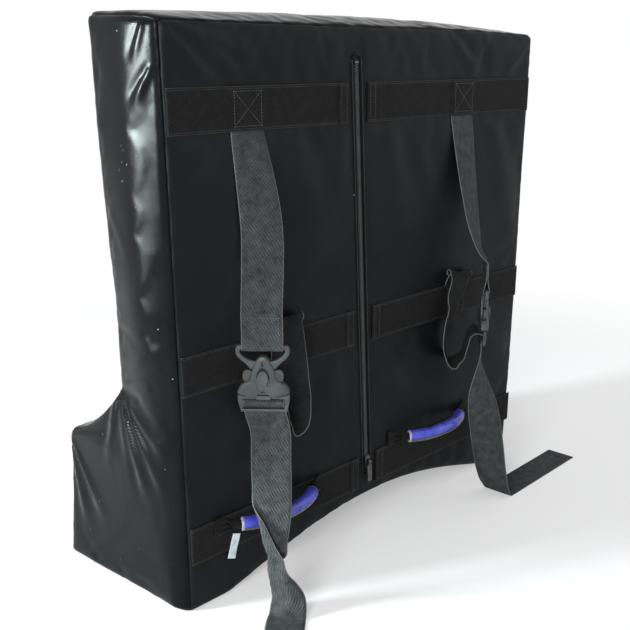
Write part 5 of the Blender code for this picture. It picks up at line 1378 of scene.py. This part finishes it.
def addSocket(side):
    # a flat ring with its bar, joined to a crowned body that is hollowed for the plug's arms
    settings = {"dome": 2.2 * mm, "domeSink": 0.4 * mm, "domeOver": 0.6 * mm, "recess": 1.5 * mm,
                "ringRounding": 1.4 * mm, "bodyRounding": 0.9 * mm, "cavityDepth": 6.6 * mm, "cutDepth": 5 * mm,
                "dot": 1.1 * mm, "dots": ((0.60, 0.625), (0.66, 0.655), (0.74, 0.675))}
    name = side + "BuckleSocket"
    high, wide = buckle["length"], buckle["halfWidth"]
    front = -buckle["thickness"] / 2
    ring = plateMesh(name, [rounded(halfOutline(buckleShares["ringOuter"])),
                            rounded(halfOutline(buckleShares["ringHole"]))], buckle["ringThickness"],
                     settings["ringRounding"])
    socket = addPiece(name, ring, bucklePlastic, None)
    bodyOutline = rounded(halfOutline(buckleShares["body"]), 2)
    body = plateMesh("tool", [bodyOutline], buckle["thickness"] - settings["dome"], settings["bodyRounding"],
                     settings["dome"] / 2)
    dome = domeMesh("tool", bodyOutline, (0, -high * 0.60), front + settings["dome"] + settings["domeSink"],
                    settings["dome"] + settings["domeOver"])
    cavity = plateMesh("tool", [halfOutline(buckleShares["cavity"])], settings["cavityDepth"])
    dish = domeMesh("tool", ovalOutline(-high * 0.48, wide * 0.20, high * 0.125), (0, -high * 0.48),
                    front - 1.4 * mm, -settings["recess"] - 1.8 * mm)
    slot = plateMesh("tool", [ovalOutline(-high * 0.26, wide * 0.05, high * 0.045)], settings["cutDepth"], 0, front)
    hole = plateMesh("tool", [ovalOutline(-high * 0.685, wide * 0.085, high * 0.018)], settings["cutDepth"], 0,
                     front)
    # the cavity is cut before the union, so that none of its tool is left beside the body
    hollowed = bpy.data.objects.new("tool", body)
    scene.collection.objects.link(hollowed)
    combine(hollowed, [(cavity.copy(), "DIFFERENCE")])
    body = hollowed.data.copy()
    bpy.data.objects.remove(hollowed)
    combine(socket, [(cavity, "DIFFERENCE"), (body, "UNION"), (dome, "UNION"), (dish, "DIFFERENCE"),
                     (slot, "DIFFERENCE"), (hole, "DIFFERENCE")])
    bumps = bmesh.new()
    bumps.from_mesh(socket.data)
    for x, w in settings["dots"]:
        for sign in (-1, 1):
            spot = Matrix.Translation((sign * wide * x, front + settings["domeSink"], -high * w))
            spot = spot @ Matrix.Diagonal((1, 0.6, 1, 1))
            bmesh.ops.create_uvsphere(bumps, u_segments=12, v_segments=8, radius=settings["dot"], matrix=spot)
    bumps.to_mesh(socket.data)
    bumps.free()
    socket.data.materials.clear()
    socket.data.materials.append(bucklePlastic)
    socket.data.shade_smooth()
    socket.data.set_sharp_from_angle(angle=math.radians(42))
    x, y, z, turn = buckleFrame(side)
    spot = Matrix.Translation(Vector((x, y, z)) + Vector(padShift)) @ Matrix.Rotation(math.radians(turn), 4, "Z")
    socket.data.transform(spot)
    fitToFrame(socket, side + "_strap", (side + "_buckle_socket",))


for sideWord in ("left", "right"):
    addSocket(sideWord)

print("zip")


def spacedAlong(tree, start):
    # points at an even pitch along every line of the guide
    lines = addNode(tree, "GeometryNodeMeshToCurve", {0: start.outputs["Guide"]})
    return addNode(tree, "GeometryNodeResampleCurve", {"Curve": lines.outputs[0], "Length": start.outputs["Pitch"]},
                   mode="LENGTH").outputs[0]


def dressTree(tree, start, finish, placed):
    solid = addNode(tree, "GeometryNodeRealizeInstances", {0: placed.outputs[0]})
    smooth = addNode(tree, "GeometryNodeSetShadeSmooth", {0: solid.outputs[0]})
    dressed = addNode(tree, "GeometryNodeSetMaterial", {"Geometry": smooth.outputs[0],
                                                        "Material": start.outputs["Finish"]})
    tree.links.new(dressed.outputs[0], finish.inputs[0])


def makeStitchTree():
    # thread stitches at an even pitch along every line of the guide
    tree, start, finish = newGroup("stitchRun", "GeometryNodeTree", {
        "Guide": "Geometry", "Pitch": "Float", "Stitch": "Float", "Thread": "Float", "Finish": "Material"},
        {"Stitches": "Geometry"})
    ball = addNode(tree, "GeometryNodeMeshUVSphere", {"Segments": 8, "Rings": 6, "Radius": 1.0})
    size = addNode(tree, "ShaderNodeCombineXYZ", {0: start.outputs["Thread"], 1: start.outputs["Thread"],
                                                  2: start.outputs["Stitch"]})
    tangent = addNode(tree, "GeometryNodeInputTangent")
    turn = addNode(tree, "FunctionNodeAlignRotationToVector", {"Vector": tangent.outputs[0]}, axis="Z")
    placed = addNode(tree, "GeometryNodeInstanceOnPoints", {
        "Points": spacedAlong(tree, start), "Instance": ball.outputs[0], "Rotation": turn.outputs[0],
        "Scale": size.outputs[0]})
    dressTree(tree, start, finish, placed)
    return tree


def makeToothTree():
    # zip teeth at an even pitch up a guide line, each a block with a rounded head
    tree, start, finish = newGroup("zipTeeth", "GeometryNodeTree", {
        "Guide": "Geometry", "Pitch": "Float", "Reach": "Float", "Depth": "Float", "Height": "Float",
        "Finish": "Material"}, {"Teeth": "Geometry"})
    size = addNode(tree, "ShaderNodeCombineXYZ", {0: start.outputs["Reach"], 1: start.outputs["Depth"],
                                                  2: start.outputs["Height"]})
    block = addNode(tree, "GeometryNodeMeshCube", {"Size": size.outputs[0], "Vertices X": 3, "Vertices Y": 3,
                                                   "Vertices Z": 3})
    eased = addNode(tree, "GeometryNodeSubdivisionSurface", {"Mesh": block.outputs[0], "Level": 1})
    placed = addNode(tree, "GeometryNodeInstanceOnPoints", {"Points": spacedAlong(tree, start),
                                                            "Instance": eased.outputs[0]})
    dressTree(tree, start, finish, placed)
    return tree


stitchTree = makeStitchTree()
toothTree = makeToothTree()


def growAlong(name, lines, tree, values, body, nodes=()):
    # runs a tree over polylines and keeps its result as a plain mesh
    points, edges = [], []
    for line in lines:
        first = len(points)
        points += [tuple(np.array(place) + padShift) for place in line]
        edges += [(first + step, first + step + 1) for step in range(len(line) - 1)]
    mesh = bpy.data.meshes.new(name)
    mesh.from_pydata(points, edges, [])
    piece = bpy.data.objects.new(name, mesh)
    scene.collection.objects.link(piece)
    modifier = piece.modifiers.new("grown", "NODES")
    modifier.node_group = tree
    sockets = {item.name: item.identifier for item in tree.interface.items_tree if item.in_out == "INPUT"}
    for word, value in values.items():
        modifier[sockets[word]] = value
    bpy.context.view_layer.update()
    bakeModifiers(piece)
    fitToFrame(piece, body, nodes)


def zipPlace(across, out, up):
    # a place in the zip's own leaning frame
    lean = math.atan2(pad["zipLowX"] - pad["zipTopX"], pad["zipLength"])
    x = pad["zipLowX"] + across * math.cos(lean) - up * math.sin(lean)
    return (x, out, pad["zipLow"] + across * math.sin(lean) + up * math.cos(lean))


zipLook = {"pitch": 3.2 * mm, "toothReach": 4.2 * mm, "toothHeight": 1.7 * mm, "toothDepth": 2.4 * mm,
           "toothRoot": 3.2 * mm, "toothShift": 0.35 * mm, "toothLift": 0.4 * mm, "toothOut": 0.15 * mm,
           "endClear": 2 * mm, "lipInner": 5.7 * mm, "lipOuter": 11.2 * mm, "lipRise": 1.5 * mm}


def addZipTeeth():
    for side, word in ((-1, "left"), (1, "right")):
        middle = side * (zipLook["toothRoot"] - zipLook["toothReach"] / 2 + zipLook["toothShift"])
        lift = zipLook["toothLift"] + (zipLook["pitch"] / 2 if side > 0 else 0)
        first = zipLook["endClear"]
        count = int((pad["zipLength"] - 2 * first) / zipLook["pitch"])
        ends = [zipPlace(middle, zipLook["toothOut"], lift + step) for step in
                (first, first + count * zipLook["pitch"])]
        growAlong(word + "ZipTeeth", [ends], toothTree, {
            "Pitch": zipLook["pitch"], "Reach": zipLook["toothReach"], "Depth": zipLook["toothDepth"],
            "Height": zipLook["toothHeight"], "Finish": zipPlastic}, "pad", ("zip_teeth_" + word,))


def addZipLips():
    # one folded vinyl edge that runs up one side of the zip, round its top and down the other
    low, high = -5 * mm, pad["zipLength"] + 3 * mm
    middle = (zipLook["lipInner"] + zipLook["lipOuter"]) / 2
    path = [(-1, 0, height) for height in np.linspace(low, high, 130)]
    path += [(-math.cos(angle), math.sin(angle), high) for angle in np.linspace(0, math.pi, 18)[1:-1]]
    path += [(1, 0, height) for height in np.linspace(high, low, 130)]
    path += [(math.cos(angle), -math.sin(angle), low) for angle in np.linspace(0, math.pi, 18)[1:-1]]
    half = (zipLook["lipOuter"] - zipLook["lipInner"]) / 2
    section = ((-half, -0.25), (-half * 0.98, 0.35), (-half * 0.8, 0.78), (-half * 0.35, 1.0), (half * 0.3, 0.92),
               (half * 0.75, 0.6), (half, 0.1), (half, -0.25))
    rings = []
    for across, up, height in path:
        ring = []
        puff = 1 + 0.16 * wander(np.array(height * 160.0 + across), 3)
        for aside, rise in section:
            radius = middle + aside
            ring.append(Vector(zipPlace(across * radius, -rise * zipLook["lipRise"] * puff, height + up * radius))
                        + Vector(padShift))
        rings.append(ring)
    addPiece("zipLips", ringLoft("zipLips", rings, closed=True), glossyVinyl, "pad", ())
    lines = []
    for side in (-1, 1):
        lines.append([zipPlace(side * (middle + 0.5 * mm), -zipLook["lipRise"] - 0.05 * mm, height)
                      for height in np.linspace(low, high, 60)])
    growAlong("zipLipStitches", lines, stitchTree, {
        "Pitch": 3.4 * mm, "Stitch": 1.3 * mm, "Thread": 0.28 * mm, "Finish": darkThread}, "pad")


addZipTeeth()
addZipLips()

print("stitches")


def bandFront(x, z, lifted=False):
    # just in front of a band's face, or of its face over the web sewn under it
    out = web["gap"] + web["thickness"] + (layer if lifted else 0)
    return -out - float(backOut(x, z)) - 0.1 * mm


def crossedBox(halfX, halfZ):
    # the sides and diagonals of a sewn box
    corners = [(-halfX, -halfZ), (halfX, -halfZ), (halfX, halfZ), (-halfX, halfZ)]
    sides = [(corners[here], corners[(here + 1) % 4]) for here in range(4)]
    return sides + [(corners[0], corners[2]), (corners[1], corners[3])]


def addBandStitches():
    settings = {"edgeInset": 2.6 * mm, "endInset": 3 * mm, "beside": 0.8 * mm, "stepEase": 4 * mm,
                "foldInset": 4 * mm, "barHeight": 44 * mm, "boxHalf": (20.5 * mm, 19.5 * mm)}
    lines = []
    for word, height in bandHeights.items():
        for side, sideWord in ((-1, "left"), (1, "right")):
            outer = side * (pad["width"] / 2 - web["endInset"] - settings["endInset"])
            inner = zipX(height) + side * (web["stubGap"] / 2 + settings["endInset"])
            under = strap[sideWord]["slackX" if word == "middle" else "x"]
            for edge in (-1, 1):
                z = height + edge * (web["width"] / 2 - settings["edgeInset"])
                line = []
                for x in np.linspace(outer, inner, 90):
                    reach = abs(x - under) - web["width"] / 2 - settings["beside"]
                    lift = layer * (1 - min(max(reach / settings["stepEase"], 0), 1)) if word != "bottom" else 0
                    doubled = abs(x - inner) < web["stubFold"] - settings["foldInset"]
                    line.append((x, bandFront(x, z) - lift - (web["thickness"] if doubled else 0), z))
                lines.append(line)
            for x in (inner, inner + side * (web["stubFold"] - 2 * settings["foldInset"])):
                lines.append([(x, bandFront(x, height) - web["thickness"], height + share * settings["barHeight"])
                              for share in np.linspace(-0.5, 0.5, 12)])
    growAlong("bandStitches", lines, stitchTree, {
        "Pitch": 3.6 * mm, "Stitch": 1.3 * mm, "Thread": 0.25 * mm, "Finish": darkThread}, "pad")
    boxes = []
    for sideWord in ("left", "right"):
        facts = strap[sideWord]
        for x, height in ((facts["x"], bandHeights["top"]), (facts["slackX"], bandHeights["middle"])):
            for (x0, z0), (x1, z1) in crossedBox(*settings["boxHalf"]):
                boxes.append([(x + x0 + (x1 - x0) * share, bandFront(x, height, lifted=True),
                               height + z0 + (z1 - z0) * share) for share in np.linspace(0, 1, 14)])
    growAlong("strapBoxStitches", boxes, stitchTree, {
        "Pitch": 3.4 * mm, "Stitch": 1.25 * mm, "Thread": 0.34 * mm, "Finish": sewingThread}, "pad")


def addStrapStitches(side):
    # a crossed box that holds the upper strap's turned-back end
    settings = {"boxHalf": (20 * mm, 11.5 * mm), "boxMiddle": 22.5 * mm, "above": 0.08 * mm}
    place = buckleFrame(side)
    angle = math.radians(place[3])
    wide = np.array((math.cos(angle), math.sin(angle), 0))
    out = -(web["thickness"] + web["gap"] / 2 + settings["above"])
    lines = []
    for (x0, z0), (x1, z1) in crossedBox(*settings["boxHalf"]):
        line = []
        for share in np.linspace(0, 1, 14):
            spot = np.array(onAxes(place, out, -(settings["boxMiddle"] + z0 + (z1 - z0) * share)))
            line.append(spot + wide * (x0 + (x1 - x0) * share))
        lines.append(line)
    growAlong(side + "TurnBackStitches", lines, stitchTree, {
        "Pitch": 3.0 * mm, "Stitch": 1.15 * mm, "Thread": 0.36 * mm, "Finish": sewingThread}, side + "_strap")


addBandStitches()
for sideWord in ("left", "right"):
    addStrapStitches(sideWord)

print("handles")

handle = {
    "span": 150 * mm, "reach": 27 * mm, "bundle": 6.4 * mm, "gripRadius": 9.5 * mm, "gripWall": 2.2 * mm,
    "gripLength": 128 * mm, "endLength": 20 * mm, "endHeight": 28 * mm, "endThickness": 1.3 * mm,
    "webAround": 40, "webRings": 49, "gripAround": 36, "gripRings": 40, "endRows": 22, "endColumns": 25,
    "left": {"x": 137 * mm - pad["width"] / 2, "z": 108 * mm},
    "right": {"x": pad["width"] / 2 - 228 * mm, "z": 128 * mm},
}
handleY = -web["gap"] - web["thickness"] - web["gap"] - handle["bundle"]


def handlePlace(share):
    # a handle's middle line, bowed out from the back, and the direction that faces out there
    x = share * handle["span"] / 2
    reach = handle["reach"] * (1 - abs(share) ** 2.4)
    slope = 0.0
    if 0 < abs(share) < 1:
        slope = handle["reach"] * 2.4 * abs(share) ** 1.4 * math.copysign(1, share) / (handle["span"] / 2)
    along = Vector((1, slope, 0)).normalized()
    return Vector((x, -reach, 0)), Vector((along.y, -along.x, 0))


def unwrapLoft(mesh, around, along, width, length):
    # flat places for a capped loft: its turn across and its rings along
    index = np.arange(len(mesh.vertices))
    flat = np.stack(((index % around) / around * width, (index // around) / along * length), axis=-1)
    writePlaces(mesh, "flatPlaces", flat)


def handleOrigin(side):
    return Vector((handle[side]["x"], handleY, handle[side]["z"])) + Vector(padShift)


def addHandleWeb(side):
    # the gathered web, a pleated bundle that bows out from the back
    around, along = handle["webAround"], handle["webRings"]
    rings = []
    for share in np.linspace(-1, 1, along):
        place, normal = handlePlace(share)
        ring = []
        for step in range(around):
            angle = math.tau * step / around
            pleat = 1 - 0.13 * (0.5 + 0.5 * math.cos(7 * angle + 1.6 * math.sin(3 * share)))
            radius = handle["bundle"] * (1 - 0.12 * abs(share) ** 8) * pleat
            ring.append(handleOrigin(side) + place + Vector((0, 0, 1)) * radius * math.cos(angle)
                        + normal * radius * 0.92 * math.sin(angle))
        rings.append(ring)
    mesh = ringLoft(side + "HandleWeb", rings)
    unwrapLoft(mesh, around, along, 36 * mm, 150 * mm)
    addPiece(side + "HandleWeb", mesh, bandWebbing, side + "_handle", (side + "_handle_web",))


def addGrip(side):
    # a tube round the web: outer wall, rims and inner wall as one closed run of rings
    reachShare = handle["gripLength"] / handle["span"]
    outer, inner = handle["gripRadius"], handle["gripRadius"] - handle["gripWall"]
    count, around = handle["gripRings"], handle["gripAround"]
    shares = np.linspace(-reachShare, reachShare, count)
    walls = [(share, outer * (1 + 0.012 * math.sin(9 * share)), 0.0) for share in shares]
    walls[0] = (shares[0], outer - 0.5 * mm, 1.0)
    walls[-1] = (shares[-1], outer - 0.5 * mm, 1.0)
    walls += [(share, inner, 0.15) for share in shares[::-1]]
    walls[count] = (shares[-1], inner + 0.4 * mm, 1.0)
    walls[-1] = (shares[0], inner + 0.4 * mm, 1.0)
    rings, turns = [], []
    for share, radius, rimHighlight in walls:
        place, normal = handlePlace(share)
        ring = []
        for step in range(around):
            angle = math.tau * step / around
            ring.append(handleOrigin(side) + place + Vector((0, 0, 1)) * radius * math.cos(angle)
                        + normal * radius * math.sin(angle))
            # the first place runs round the tube, for the painted underside shade; the second is 1 at the rims, for
            # the painted rim highlight
            turns.append((0.5 - 0.5 * math.cos(angle), rimHighlight))
        rings.append(ring)
    mesh = ringLoft(side + "Grip", rings, closed=True)
    writePlaces(mesh, "roundAndRim", turns)
    addPiece(side + "Grip", mesh, gripPlastic, side + "_handle", (side + "_grip",))


def addHandleEnds(side):
    # the web's two ends, gathered beside the grip and spread where they are sewn on the band
    facts = handle[side]
    rows, columns = handle["endRows"], handle["endColumns"]
    lift = web["gap"] + web["thickness"] + web["gap"]
    for sign, word in ((-1, "left"), (1, "right")):
        start = facts["x"] + sign * (handle["span"] / 2 + 0.3 * mm)
        grid = np.zeros((rows, columns, 3))
        shares = np.linspace(-0.5, 0.5, columns)
        for row, t in enumerate(np.linspace(0, 1, rows)):
            spreadOut = (handle["bundle"] * 1.76 + (handle["endHeight"] - handle["bundle"] * 1.76) * t**0.7) * 0.96
            depth = handle["bundle"] * 0.95 * (1 - t) ** 1.5
            pleats = np.cos(math.tau * 2.5 * shares + 0.6) * (1 - t) ** 0.8
            grid[row, :, 0] = start + sign * handle["endLength"] * t + sign * 0.8 * mm * pleats * (1 - t)
            grid[row, :, 1] = -lift - 0.8 * mm - depth * (1 + 0.75 * pleats)
            grid[row, :, 2] = facts["z"] + shares * spreadOut
        grid[..., 1] -= backOut(grid[..., 0], grid[..., 2]) * 0.5
        name = side + "HandleEnd" + word.capitalize()
        mesh = stripMesh(name, grid + padShift, handle["endThickness"])[0]
        addPiece(name, mesh, bandWebbing, "pad", (side + "_handle_end_" + word,))


for sideWord in ("left", "right"):
    addHandleWeb(sideWord)
    addGrip(sideWord)
    addHandleEnds(sideWord)


def addTag():
    settings = {"width": 13 * mm, "length": 34 * mm, "thickness": 0.5 * mm, "tilt": 20.0, "inward": 15 * mm,
                "below": 7 * mm}
    x = handle["left"]["x"] - handle["span"] / 2 + settings["inward"]
    top = handle["left"]["z"] - handle["endHeight"] / 2 - settings["below"]
    front = -web["gap"] - web["thickness"] - 0.3 * mm - settings["thickness"] / 2
    tilt = math.radians(settings["tilt"])
    grid = np.zeros((26, 9, 3))
    for row, t in enumerate(np.linspace(0, 1, 26)):
        for column, share in enumerate(np.linspace(-0.5, 0.5, 9)):
            across, down = share * settings["width"], t * settings["length"]
            curl = 1.4 * mm * t**2 + 0.5 * mm * math.sin(8 * t) * share
            grid[row, column] = (x + across * math.cos(tilt) - down * math.sin(tilt), front - abs(curl),
                                 top - across * math.sin(tilt) - down * math.cos(tilt))
    mesh, length = stripMesh("blankTag", grid + padShift, settings["thickness"])
    piece = addPiece("blankTag", mesh, tagFabric, "pad", ("blank_tag",))


addTag()

print("carried-over parts")

carried = {
    "zip_tape_left": zipWoven, "zip_tape_right": zipWoven, "zip_bottom_stop": zipMetal, "zip_top_stop": zipMetal,
    "zip_slider": zipMetal, "zip_pull": zipMetal,
}
for sideWord in ("left", "right"):
    for part in ("_buckle_plug", "_buckle_arm_left", "_buckle_arm_right"):
        carried[sideWord + part] = bucklePlastic
for nodeName, finish in carried.items():
    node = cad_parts[nodeName]
    node.data.materials.clear()
    node.data.materials.append(finish)
    node.data.shade_smooth()
    node.data.set_sharp_from_angle(angle=math.radians(35))
